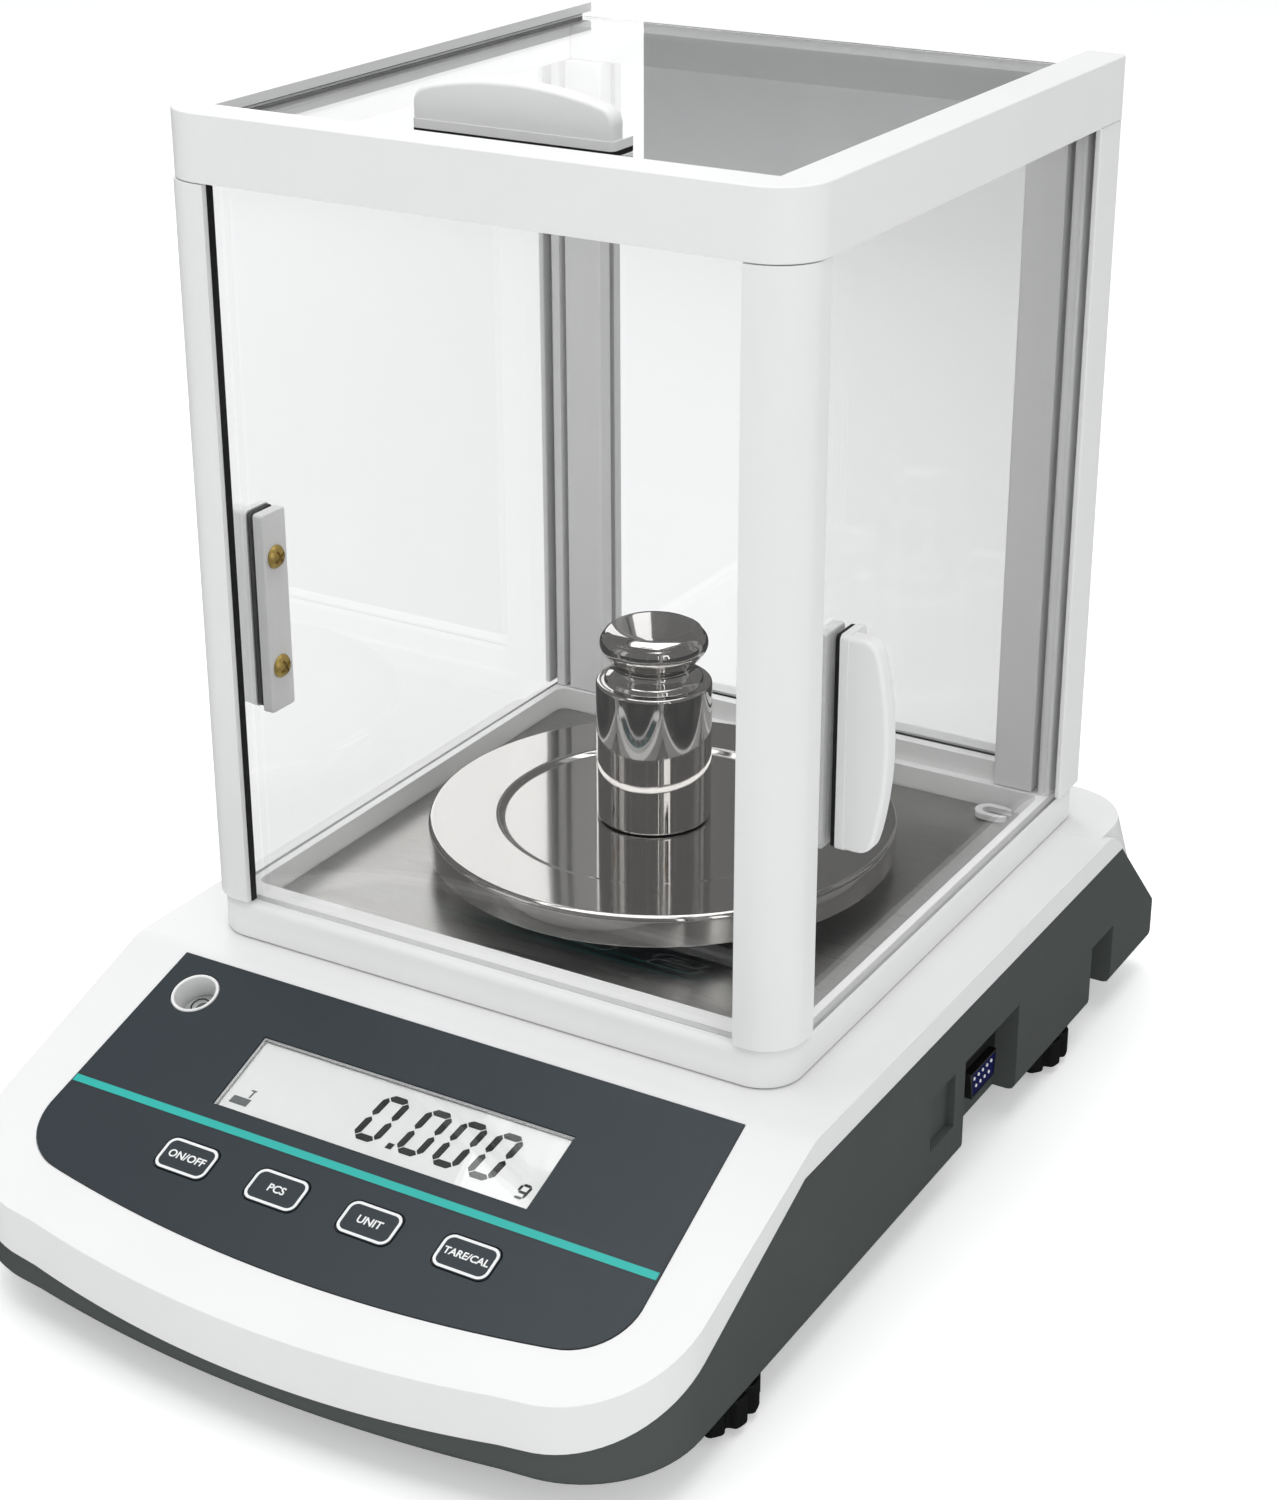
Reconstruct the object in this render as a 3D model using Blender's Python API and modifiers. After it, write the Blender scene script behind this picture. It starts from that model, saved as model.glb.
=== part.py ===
"""Analytical balance with a glass draft shield.

A bench balance: a dark tray and a white upper shell hold the weighing works, a glazed
draft shield stands on the shell, and a round pan carries a calibration weight.
Units in the constants are millimetres; the model itself is in metres. X runs to the
right, Y to the back, Z up. The origin is on the table, under the middle of the model.
"""
import math

import bmesh
import bpy
from mathutils import Matrix, Vector

MM = 0.001
GAP = 0.3                       # clearance between touching pieces

# ---- driving dimensions -------------------------------------------------------------
WIDTH = 208.0                   # housing, side to side
DEPTH = 327.6                   # housing, nose to tail
DECK = 64.0                     # height of the flat deck above the table
BOTTOM = 11.2                   # underside of the housing
FRONT = -DEPTH / 2              # y of the nose
REAR = DEPTH / 2                # y of the tail
WALL = 2.5                      # moulded wall thickness

BOW = 0.0013                    # the nose bows: y = FRONT + BOW * x * x
CORNER_FRONT = 25.0
CORNER_REAR = 5.0

PANEL_SLOPE = math.radians(19.8)
PANEL_CREST = FRONT + 92.5      # y where the deck turns down into the panel
SEAM_NOSE = DECK - 47.3         # white and dark shells meet here at the nose
SEAM_SIDE = DECK - 8.0          # and here along the sides
SEAM_KNEE = FRONT + 87.0        # y where the seam levels out

SHIELD_FRONT = FRONT + 104.5    # y of the draft shield's front
SHIELD_DEPTH = 186.0
SHIELD_HALF = 88.0
SILL_TOP = DECK + 11.0
FRAME_LOW = DECK + 207.3
FRAME_HIGH = DECK + 224.3
FRAME_HALF = 89.5
POST_INNER = 74.5               # x of the posts' inner faces
POST_DEEP = 15.0

GLASS = 3.0
DOOR_X = 85.4                   # mid-plane of each door
LID_LOW = DECK + 217.3

PAN_R = 65.0
PAN_Y = SHIELD_FRONT + 93.0
PAN_TOP = DECK + 19.0
PAN_RIM = 9.0
WEIGHT_R = 16.2
WEIGHT_TALL = 57.0

FOOT_X = 86.5
FOOT_FRONT = SHIELD_FRONT - 41.5
FOOT_REAR = SHIELD_FRONT + 150.0
KNOB_R = 17.0
PAD_TALL = 2.0

OVERLAY_START = 2.0             # along the panel, from the crest down to the overlay
OVERLAY_LONG = 80.0
KEY_PITCH = 27.9
KEY_WIDE, KEY_HIGH = 16.2, 10.2
KEY_S = OVERLAY_START + 59.3
LCD_S = (OVERLAY_START + 18.2, OVERLAY_START + 41.6)
LCD_X = (-46.4, 48.0)
LEVEL_X, LEVEL_S, LEVEL_R = -74.3, OVERLAY_START + 11.7, 6.6

# ---- scene --------------------------------------------------------------------------
for old in list(bpy.data.objects):
    bpy.data.objects.remove(old, do_unlink=True)

PARTS = bpy.data.collections.new("analytical_balance")
CUTTERS = bpy.data.collections.new("cutters")
bpy.context.scene.collection.children.link(PARTS)
bpy.context.scene.collection.children.link(CUTTERS)


# ---- materials ----------------------------------------------------------------------
def material(name, color, roughness, metallic=0.0, transmission=0.0):
    """A Principled material from an sRGB hex colour."""
    made = bpy.data.materials.new(name)
    made.use_nodes = True
    shader = made.node_tree.nodes["Principled BSDF"]
    rgb = [int(color[i:i + 2], 16) / 255 for i in (1, 3, 5)]
    linear = [c / 12.92 if c < 0.04045 else ((c + 0.055) / 1.055) ** 2.4 for c in rgb]
    shader.inputs["Base Color"].default_value = (*linear, 1.0)
    shader.inputs["Roughness"].default_value = roughness
    shader.inputs["Metallic"].default_value = metallic
    shader.inputs["Transmission Weight"].default_value = transmission
    return made


WHITE = material("white_abs", "#e9e9e8", 0.4)
DARK = material("dark_grey_abs", "#4b504e", 0.5)
OVERLAY = material("overlay_film", "#3c444b", 0.45)
KEYPAD = material("key_film", "#3c444b", 0.5)
GLASS_MAT = material("float_glass", "#f4f8f7", 0.02, transmission=1.0)
GREY = material("grey_extrusion", "#b4b6b6", 0.4, 0.3)
STEEL = material("brushed_steel", "#c4c3c1", 0.3, 1.0)
POLISHED = material("polished_steel", "#d0cfcd", 0.12, 1.0)
BRASS = material("brass", "#b79a4e", 0.3, 1.0)
RUBBER = material("black_rubber", "#1b1b1b", 0.8)
BLACK = material("black_plastic", "#202122", 0.5)
LCD = material("lcd_face", "#dfe0de", 0.3)
CLEAR = material("clear_acrylic", "#f2f4f4", 0.05, transmission=0.9)
BLUE = material("blue_insulator", "#1f3a8c", 0.4)
GREEN = material("circuit_board", "#1d6b3f", 0.5)
ALUMINIUM = material("cast_aluminium", "#a9acae", 0.45, 1.0)


# ---- modelling helpers --------------------------------------------------------------
def finish(name, made, mat, smooth=30.0):
    """Name an object, give it its material and file it with the parts."""
    made.name = name
    made.data.name = name
    made.data.materials.clear()
    made.data.materials.append(mat)
    for holder in list(made.users_collection):
        holder.objects.unlink(made)
    PARTS.objects.link(made)
    if smooth:
        made.data.shade_smooth()
        made.data.set_sharp_from_angle(angle=math.radians(smooth))
    return made


def set_origin(made, x, y, z):
    """Put an object's origin at a point given in millimetres."""
    point = Vector((x, y, z)) * MM
    made.data.transform(Matrix.Translation(-point) @ made.matrix_world)
    made.matrix_world = Matrix.Translation(point)
    return made


def apply_modifiers(made):
    """Replace an object's mesh by its evaluated one."""
    bpy.context.view_layer.update()
    graph = bpy.context.evaluated_depsgraph_get()
    mesh = bpy.data.meshes.new_from_object(made.evaluated_get(graph))
    made.modifiers.clear()
    made.data = mesh
    return made


def combine(target, others, operation):
    """Boolean an object with others, which are used up."""
    for other in others:
        other.hide_render = True
        other.display_type = "WIRE"
        step = target.modifiers.new(operation.lower(), "BOOLEAN")
        step.operation = operation
        step.object = other
    apply_modifiers(target)
    for other in others:
        bpy.data.objects.remove(other, do_unlink=True)
    return target


def cut(target, *others):
    return combine(target, others, "DIFFERENCE")


def join(target, *others):
    return combine(target, others, "UNION")


def common(target, *others):
    return combine(target, others, "INTERSECT")


def bevel(made, width, segments=3, angle=40.0):
    """Round every edge sharper than the angle."""
    step = made.modifiers.new("bevel", "BEVEL")
    step.width = width * MM
    step.segments = segments
    step.limit_method = "ANGLE"
    step.angle_limit = math.radians(angle)
    step.harden_normals = False
    return apply_modifiers(made)


PLANES = {
    "XY": Matrix.Identity(4),
    "YZ": Matrix.Rotation(math.pi / 2, 4, "Z") @ Matrix.Rotation(math.pi / 2, 4, "X"),
    "XZ": Matrix.Rotation(math.pi / 2, 4, "X"),
}


def flat(outline, low, high, plane="XY", frame=None):
    """A flat outline in millimetres, extruded from low to high across its plane."""
    curve = bpy.data.curves.new("outline", "CURVE")
    curve.dimensions = "2D"
    curve.fill_mode = "BOTH"
    curve.extrude = (high - low) / 2 * MM
    spline = curve.splines.new("POLY")
    spline.points.add(len(outline) - 1)
    for point, (a, b) in zip(spline.points, outline):
        point.co = (a * MM, b * MM, 0.0, 1.0)
    spline.use_cyclic_u = True
    holder = bpy.data.objects.new("outline", curve)
    CUTTERS.objects.link(holder)
    bpy.context.view_layer.update()
    graph = bpy.context.evaluated_depsgraph_get()
    mesh = bpy.data.meshes.new_from_object(holder.evaluated_get(graph))
    bpy.data.objects.remove(holder, do_unlink=True)
    work = bmesh.new()
    work.from_mesh(mesh)
    bmesh.ops.remove_doubles(work, verts=work.verts, dist=1e-6)
    bmesh.ops.recalc_face_normals(work, faces=work.faces)
    work.to_mesh(mesh)
    work.free()
    middle = (low + high) / 2 * MM
    if plane == "XZ":
        middle = -middle
    place = frame if frame is not None else PLANES[plane]
    made = bpy.data.objects.new("flat", mesh)
    mesh.transform(place @ Matrix.Translation((0, 0, middle)))
    CUTTERS.objects.link(made)
    return made


def box(x0, x1, y0, y1, z0, z1, frame=None):
    """A box primitive between two corners, in millimetres."""
    bpy.ops.mesh.primitive_cube_add(size=1.0)
    made = bpy.context.active_object
    size = Vector((x1 - x0, y1 - y0, z1 - z0)) * MM
    middle = Vector((x0 + x1, y0 + y1, z0 + z1)) * 0.5 * MM
    place = Matrix.Translation(middle) @ Matrix.Diagonal((*size, 1.0))
    made.data.transform((frame if frame is not None else Matrix.Identity(4)) @ place)
    for holder in list(made.users_collection):
        holder.objects.unlink(made)
    CUTTERS.objects.link(made)
    return made


def rod(radius, x, y, z0, z1, sides=32, frame=None, axis="Z"):
    """A cylinder primitive along an axis, in millimetres."""
    bpy.ops.mesh.primitive_cylinder_add(
        vertices=sides, radius=radius * MM, depth=(z1 - z0) * MM, end_fill_type="NGON")
    made = bpy.context.active_object
    turn = {"Z": Matrix.Identity(4), "X": Matrix.Rotation(math.pi / 2, 4, "Y")}[axis]
    if axis == "Z":
        place = Matrix.Translation(Vector((x, y, (z0 + z1) / 2)) * MM)
    else:
        place = Matrix.Translation(Vector(((z0 + z1) / 2, x, y)) * MM)
    made.data.transform((frame if frame is not None else Matrix.Identity(4)) @ place @ turn)
    for holder in list(made.users_collection):
        holder.objects.unlink(made)
    CUTTERS.objects.link(made)
    return made


def turned(profile, x, y, sides=48):
    """A solid of revolution about Z from an (r, z) profile that runs top to bottom."""
    mesh = bpy.data.meshes.new("turned")
    work = bmesh.new()
    points = [work.verts.new((r * MM, 0.0, z * MM)) for r, z in profile]
    for one, two in zip(points, points[1:]):
        work.edges.new((one, two))
    work.to_mesh(mesh)
    work.free()
    made = bpy.data.objects.new("turned", mesh)
    CUTTERS.objects.link(made)
    screw = made.modifiers.new("screw", "SCREW")
    screw.steps = sides
    screw.render_steps = sides
    screw.use_merge_vertices = True
    screw.merge_threshold = 1e-6
    screw.use_normal_calculate = True
    apply_modifiers(made)
    work = bmesh.new()
    work.from_mesh(made.data)
    bmesh.ops.remove_doubles(work, verts=work.verts, dist=1e-6)
    bmesh.ops.recalc_face_normals(work, faces=work.faces)
    work.to_mesh(made.data)
    work.free()
    made.data.transform(Matrix.Translation(Vector((x, y, 0)) * MM))
    return made


def arc(cx, cy, radius, start, end, steps=6):
    """Points on an arc, angles in degrees."""
    return [(cx + radius * math.cos(math.radians(start + (end - start) * i / steps)),
             cy + radius * math.sin(math.radians(start + (end - start) * i / steps)))
            for i in range(steps + 1)]


def rounded(x0, x1, y0, y1, front, rear=None, steps=6):
    """A rectangle with rounded corners: front ones at y0, rear ones at y1."""
    rear = front if rear is None else rear
    return (arc(x1 - front, y0 + front, front, -90, 0, steps)
            + arc(x1 - rear, y1 - rear, rear, 0, 90, steps)
            + arc(x0 + rear, y1 - rear, rear, 90, 180, steps)
            + arc(x0 + front, y0 + front, front, 180, 270, steps))


def footprint(inset):
    """Plan outline of the housing: bowed nose, wide front corners, small rear ones."""
    half = WIDTH / 2 - inset
    radius = CORNER_FRONT - inset
    edge = half - radius
    nose = FRONT + inset
    shoulder = nose + BOW * edge * edge
    lean = math.degrees(math.atan(2 * BOW * edge))
    count = 10
    bow = [(edge * (2 * i / count - 1), nose + BOW * (edge * (2 * i / count - 1)) ** 2)
           for i in range(1, count)]
    right = arc(edge, shoulder + radius, radius, -90 + lean * 0.5, 0, 7)
    left = arc(-edge, shoulder + radius, radius, 180, 270 - lean * 0.5, 7)
    back = max(CORNER_REAR - inset, 1.0)
    tail = REAR - inset
    return (bow + right + arc(half - back, tail - back, back, 0, 90, 3)
            + arc(-half + back, tail - back, back, 90, 180, 3) + left)


def panel_z(y):
    """Height of the white shell's top surface in front of the crest."""
    return DECK - (PANEL_CREST - y) * math.tan(PANEL_SLOPE)


# On the panel: x across, local y up the slope, local z out of it. s counts down the slope.
PANEL = (Matrix.Translation(Vector((0, PANEL_CREST, DECK)) * MM)
         @ Matrix.Rotation(PANEL_SLOPE, 4, "X"))


def panel_outline(points):
    return [(x, -s) for x, s in points]


# ---- housing ------------------------------------------------------------------------
SLOPE_TOP = REAR - 36.0         # y where the tail starts to slope down
SLOPE_LOW = DECK - 42.0
APRON_LOW = DECK - 26.0         # the white shell's apron ends here
SPINDLE_HOLE_R = 14.0


def seam_profile(lift):
    """Side outline of the joint between the shells, from nose to tail."""
    return [(FRONT - 5, SEAM_NOSE - 5 * 0.448 + lift), (SEAM_KNEE, SEAM_SIDE + lift),
            (SLOPE_TOP + 2, SEAM_SIDE + lift)]


def outer_body():
    """The closed outer form that both shells are cut from."""
    side = [(FRONT - 2, BOTTOM), (REAR + 2, BOTTOM), (REAR + 2, SLOPE_LOW),
            (REAR - 1.6, SLOPE_LOW)]
    side += arc(SLOPE_TOP - 4.0, DECK - 10.0, 10.0, 45, 90, 4)
    side += [(PANEL_CREST, DECK), (FRONT - 2, panel_z(FRONT - 2))]
    form = flat(footprint(0.0), BOTTOM, DECK)
    return common(form, flat(side, -WIDTH, WIDTH, "YZ"))


def inner_body():
    """The hollow inside the shells, a wall thickness in from the outside."""
    low = BOTTOM + WALL
    high = DECK - WALL
    side = [(FRONT, low), (REAR, low), (REAR, SLOPE_LOW - WALL),
            (REAR - 1.6 - WALL, SLOPE_LOW - WALL), (SLOPE_TOP - WALL, high),
            (PANEL_CREST - 1, high), (FRONT, panel_z(FRONT) - 3.5)]
    form = flat(footprint(WALL), low, high)
    return common(form, flat(side, -WIDTH, WIDTH, "YZ"))


def above_seam(lift):
    """Everything over the joint line, with the apron that the white shell hangs behind."""
    nose = seam_profile(lift)
    return flat(nose + [(REAR + 20, SEAM_SIDE + lift), (REAR + 20, DECK + 20),
                        (FRONT - 20, DECK + 20), (FRONT - 20, nose[0][1] - 8)],
                -WIDTH, WIDTH, "YZ")


def apron_block(grow):
    """The part of the tail between the dark side walls that belongs to the white shell."""
    return box(-WIDTH / 2 + 3.4 - grow, WIDTH / 2 - 3.4 + grow, SLOPE_TOP - 12 - grow, REAR + 5,
               APRON_LOW - grow, SEAM_SIDE + 5)


def make_housings():
    pocket = [(SHIELD_FRONT + 76, SHIELD_FRONT + 112, BOTTOM - 1, DECK - 23.5),
              (SHIELD_FRONT + 164, SHIELD_FRONT + 181, BOTTOM - 1, DECK - 26.0)]
    half = WIDTH / 2

    lower = cut(outer_body(), inner_body())
    lower = cut(lower, above_seam(-GAP / 2), apron_block(GAP))
    for y0, y1, z0, z1 in pocket:
        lower = join(lower, box(half - 11.0, half - 1.0, y0 - 2.2, y1 + 2.2, BOTTOM, z1 + 2.2))
        lower = cut(lower, box(half - 7.4, half + 5, y0, y1, z0, z1))
    port_y = SHIELD_FRONT + 87.5
    lower = cut(lower, box(half - 15, half - 5, port_y - 10.0, port_y + 10.0,
                           DECK - 40.0, DECK - 27.0),
                rod(4.2, SHIELD_FRONT + 172.5, DECK - 38.0, half - 15, half - 5, 24, axis="X"),
                box(half - 0.8, half + 2, SHIELD_FRONT + 54, SHIELD_FRONT + 69.5,
                    DECK - 41, DECK - 25))
    for x in (-FOOT_X, FOOT_X):
        for y in (FOOT_FRONT, FOOT_REAR):
            lower = join(lower, rod(7.5, x, y, BOTTOM, BOTTOM + 14.0, 24))
            lower = cut(lower, rod(4.4, x, y, BOTTOM - 1, BOTTOM + 12.0, 24))
    finish("lower_housing", lower, DARK)

    upper = cut(outer_body(), inner_body())
    above = above_seam(GAP / 2)
    tail = common(apron_block(0.0), box(-WIDTH, WIDTH, SLOPE_TOP - 12, REAR + 9,
                                        APRON_LOW - 5, SEAM_SIDE + 4))
    keep = join(above, tail)
    upper = common(upper, keep)
    window = box(LCD_X[0], LCD_X[1], -LCD_S[1], -LCD_S[0], -20, 5, PANEL)
    holes = [window, rod(LEVEL_R + GAP, LEVEL_X, -LEVEL_S, -20, 5, 32, PANEL)]
    for i in range(4):
        x = (i - 1.5) * KEY_PITCH
        holes.append(box(x - KEY_WIDE / 2 - GAP, x + KEY_WIDE / 2 + GAP,
                         -KEY_S - KEY_HIGH / 2 - GAP, -KEY_S + KEY_HIGH / 2 + GAP, -20, 5, PANEL))
    upper = cut(upper, *holes)
    upper = cut(upper, flat(panel_outline(overlay_outline(GAP)), -0.7, 4, frame=PANEL))
    upper = cut(upper, rod(SPINDLE_HOLE_R, 0, PAN_Y, DECK - 8, DECK + 4, 32))
    finish("upper_housing", upper, WHITE)


def overlay_outline(grow):
    """Overlay outline as (x, s): straight top, slightly flared sides, bowed lower edge."""
    top, half, low = OVERLAY_START - grow, 88.4 + grow, OVERLAY_START + OVERLAY_LONG + grow
    radius = 19.0
    shoulder = low - 7.0
    bow = [(x, low - 7.0 * (x / 68.0) ** 2) for x in (-50, -30, -10, 10, 30, 50)]
    right = arc(half - radius, shoulder - radius, radius, 78, 0, 6)
    left = arc(-half + radius, shoulder - radius, radius, 180, 102, 6)
    return [(-85.6 - grow, top)] + left + bow + right + [(85.6 + grow, top)]


def make_panel():
    half_w, half_h = KEY_WIDE / 2, KEY_HIGH / 2
    overlay = flat(panel_outline(overlay_outline(0.0)), -0.4, 0.3, frame=PANEL)
    holes = [box(LCD_X[0] - GAP, LCD_X[1] + GAP, -LCD_S[1] - GAP, -LCD_S[0] + GAP, -5, 5, PANEL),
             rod(LEVEL_R + GAP, LEVEL_X, -LEVEL_S, -5, 5, 32, PANEL)]
    for i in range(4):
        x = (i - 1.5) * KEY_PITCH
        rim = rounded(x - half_w - GAP, x + half_w + GAP, -KEY_S - half_h - GAP,
                      -KEY_S + half_h + GAP, 2.8, steps=4)
        holes.append(flat(rim, -5, 5, frame=PANEL))
    finish("control_overlay", cut(overlay, *holes), OVERLAY)

    for i, name in enumerate(("key_on", "key_pcs", "key_unit", "key_tare")):
        x = (i - 1.5) * KEY_PITCH
        rim = rounded(x - half_w, x + half_w, -KEY_S - half_h, -KEY_S + half_h, 2.5, steps=4)
        key = flat(rim, -2.2, 0.5, frame=PANEL)
        centre = PANEL @ (Vector((x, -KEY_S, 0)) * MM) / MM
        finish(name, key, KEYPAD)
        set_origin(key, *centre)

    window = box(LCD_X[0] + GAP, LCD_X[1] - GAP, -LCD_S[1] + GAP, -LCD_S[0] - GAP,
                 -1.6, -0.4, PANEL)
    finish("lcd_window", window, CLEAR)
    module = box(LCD_X[0] + GAP, LCD_X[1] - GAP, -LCD_S[1] + GAP, -LCD_S[0] - GAP,
                 -4.6, -1.9, PANEL)
    finish("lcd_module", module, LCD)
    board = box(LCD_X[0] - 4, LCD_X[1] + 4, -KEY_S - 7, -LCD_S[0] + 6, -6.5, -4.9, PANEL)
    finish("key_board", board, GREEN)

    cup = cut(rod(LEVEL_R, LEVEL_X, -LEVEL_S, -11.0, 0.3, 32, PANEL),
              rod(LEVEL_R - 0.8, LEVEL_X, -LEVEL_S, -9.8, 2.0, 32, PANEL))
    finish("level_cup", cup, WHITE)
    vial = rod(LEVEL_R - 1.1, LEVEL_X, -LEVEL_S, -9.5, -6.0, 32, PANEL)
    finish("level_vial", vial, CLEAR)


# ---- works inside and connectors ----------------------------------------------------
def make_works():
    half = WIDTH / 2
    low = BOTTOM + WALL
    finish("main_board", box(-70, -20, SHIELD_FRONT + 40, SHIELD_FRONT + 150, low + 6, low + 7.6),
           GREEN)
    base = box(-16, 16, PAN_Y - 12, PAN_Y + 78, low + GAP, low + 6)
    finish("load_cell_base", base, ALUMINIUM)
    cell = box(-14, 14, PAN_Y - 10, PAN_Y + 76, low + 6 + GAP, low + 32)
    cell = cut(cell, box(-20, 20, PAN_Y - 12, PAN_Y + 50, low, low + 10))
    for y in (PAN_Y + 14, PAN_Y + 40):
        cell = cut(cell, rod(6.0, -y, low + 21, -20, 20, 20,
                             Matrix.Rotation(math.pi, 4, "Z"), "X"))
    finish("load_cell", cell, ALUMINIUM)
    spindle = turned([(0, PAN_TOP - 6.0), (4.0, PAN_TOP - 6.0), (5.0, PAN_TOP - 12.0),
                      (5.0, low + 32 + GAP + 3), (10.0, low + 32 + GAP + 3),
                      (10.0, low + 32 + GAP), (0, low + 32 + GAP)], 0, PAN_Y, 32)
    finish("load_spindle", spindle, STEEL)

    port_y, port_z = SHIELD_FRONT + 87.5, DECK - 33.5
    shell = rounded(port_y - 8.3, port_y + 8.3, port_z - 4.0, port_z + 4.0, 2.0, steps=3)
    port = flat(shell, half - 20.0, half - 2.6, "YZ")
    flange = box(half - 7.1, half - 6.3, port_y - 11.2, port_y + 15.5, port_z - 6.0, port_z + 6.0)
    port = join(port, flange)
    for sign in (-1, 1):
        count = 5 if sign < 0 else 4
        for i in range(count):
            y = port_y + (i - (count - 1) / 2) * 2.77
            port = cut(port, rod(0.5, y, port_z + sign * 1.4, half - 8, half, 8, axis="X"))
    finish("serial_port", port, BLUE)

    jack_y, jack_z = SHIELD_FRONT + 172.5, DECK - 38.0
    jack = cut(rod(3.9, jack_y, jack_z, half - 20, half - 6.6, 24, axis="X"),
               rod(2.6, jack_y, jack_z, half - 16, half, 24, axis="X"))
    jack = join(jack, rod(0.9, jack_y, jack_z, half - 17, half - 7.5, 12, axis="X"))
    finish("power_jack", jack, BLACK)


# ---- draft shield -------------------------------------------------------------------
SHIELD_REAR = SHIELD_FRONT + SHIELD_DEPTH
FLOOR_LOW = DECK + 3.0
FLOOR_HIGH = DECK + 4.2
REAR_POST_FRONT = SHIELD_REAR - 15.0
REAR_POST_INNER = 66.0
REAR_POST_OUTER = DOOR_X - GLASS / 2 - 0.6
TRACK = GLASS / 2 + 0.5


def make_shield_base():
    low = DECK + GAP
    base = flat(rounded(-SHIELD_HALF, SHIELD_HALF, SHIELD_FRONT, SHIELD_REAR + 2, 11, 7),
                low, SILL_TOP)
    base = bevel(base, 2.2, 3, 60)
    well = flat(rounded(-81.0, 81.0, SHIELD_FRONT + 13, REAR_POST_FRONT - 1, 3, steps=3),
                FLOOR_LOW - 0.5, SILL_TOP + 5)
    rear_sill = box(-REAR_POST_INNER + GAP, REAR_POST_INNER - GAP, REAR_POST_FRONT + 2,
                    SHIELD_REAR, SILL_TOP - 2, SILL_TOP + 6.5)
    base = cut(base, well)
    base = join(base, rear_sill)
    slots = [rod(SPINDLE_HOLE_R, 0, PAN_Y, DECK - 5, DECK + 8, 32),
             box(-REAR_POST_INNER - 5, REAR_POST_INNER + 5, SHIELD_REAR - 9.0,
                 SHIELD_REAR - 5.4, SILL_TOP + 3, SILL_TOP + 9),
             box(-POST_INNER - 3.5, POST_INNER + 3.5, SHIELD_FRONT + 3.0,
                 SHIELD_FRONT + 6.8, SILL_TOP - 1.6, SILL_TOP + 4)]
    for sign in (-1, 1):
        slots.append(box(sign * DOOR_X - TRACK, sign * DOOR_X + TRACK, SHIELD_FRONT + 15.4,
                         SHIELD_REAR + 9, SILL_TOP - 4.5, SILL_TOP + 4))
    base = cut(base, *slots)
    finish("shield_base", base, WHITE)

    floor = flat(rounded(-80.6, 80.6, SHIELD_FRONT + 13.4, REAR_POST_FRONT - 1.4, 2.7, steps=3),
                 FLOOR_LOW, FLOOR_HIGH)
    floor = join(floor, rod(SPINDLE_HOLE_R + 3, 0, PAN_Y, FLOOR_HIGH - 0.6, FLOOR_HIGH + 2.5, 40))
    floor = cut(floor, rod(SPINDLE_HOLE_R, 0, PAN_Y, FLOOR_LOW - 2, FLOOR_HIGH + 5, 40))
    finish("floor_plate", floor, STEEL)

    clip = flat(rounded(64, 75, REAR_POST_FRONT - 11, REAR_POST_FRONT - 3, 3.9, steps=6),
                FLOOR_HIGH + GAP, FLOOR_HIGH + 2.0)
    clip = cut(clip, flat(rounded(66.2, 80, REAR_POST_FRONT - 9, REAR_POST_FRONT - 5, 1.9, steps=4),
                          FLOOR_HIGH, FLOOR_HIGH + 4))
    finish("floor_clip", clip, POLISHED)


def make_posts():
    low, high = SILL_TOP + GAP, FRAME_LOW - GAP
    for side, sign in (("left", -1), ("right", 1)):
        x0, x1 = sorted((sign * POST_INNER, sign * (SHIELD_HALF + 1.0)))
        outer = 11.0
        if sign > 0:
            plan = ([(x0, SHIELD_FRONT - 0.7)] + arc(x1 - outer, SHIELD_FRONT - 0.7 + outer, outer,
                                                     -90, 0, 8)
                    + [(x1, SHIELD_FRONT + POST_DEEP), (x0, SHIELD_FRONT + POST_DEEP)])
        else:
            plan = (arc(x0 + outer, SHIELD_FRONT - 0.7 + outer, outer, 180, 270, 8)
                    + [(x1, SHIELD_FRONT - 0.7), (x1, SHIELD_FRONT + POST_DEEP),
                       (x0, SHIELD_FRONT + POST_DEEP)])
        post = flat(plan, low, high)
        groove = box(sign * POST_INNER - 3.5, sign * POST_INNER + 3.5, SHIELD_FRONT + 3.0,
                     SHIELD_FRONT + 6.8, low - 5, high + 5)
        finish("post_front_" + side, cut(post, groove), WHITE)

        x0, x1 = sorted((sign * REAR_POST_INNER, sign * REAR_POST_OUTER))
        post = flat(rounded(x0, x1, REAR_POST_FRONT, SHIELD_REAR - 0.6, 1.2, steps=2), low, high)
        pane = box(sign * REAR_POST_INNER - 3.5, sign * REAR_POST_INNER + 3.5, SHIELD_REAR - 9.0,
                   SHIELD_REAR - 5.4, low - 5, high + 5)
        flute = box(sign * (REAR_POST_OUTER - 4.2) - 0.9, sign * (REAR_POST_OUTER - 4.2) + 0.9,
                    REAR_POST_FRONT - 2, REAR_POST_FRONT + 1.2, low - 5, high + 5)
        finish("post_rear_" + side, cut(post, pane, flute), GREY)

        x0, x1 = sorted((sign * (DOOR_X + GLASS / 2 + 0.6), sign * (SHIELD_HALF + 1.2)))
        cover = box(x0, x1, REAR_POST_FRONT, SHIELD_REAR - 0.6, low, high)
        finish("cover_rear_" + side, cover, WHITE)


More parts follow.
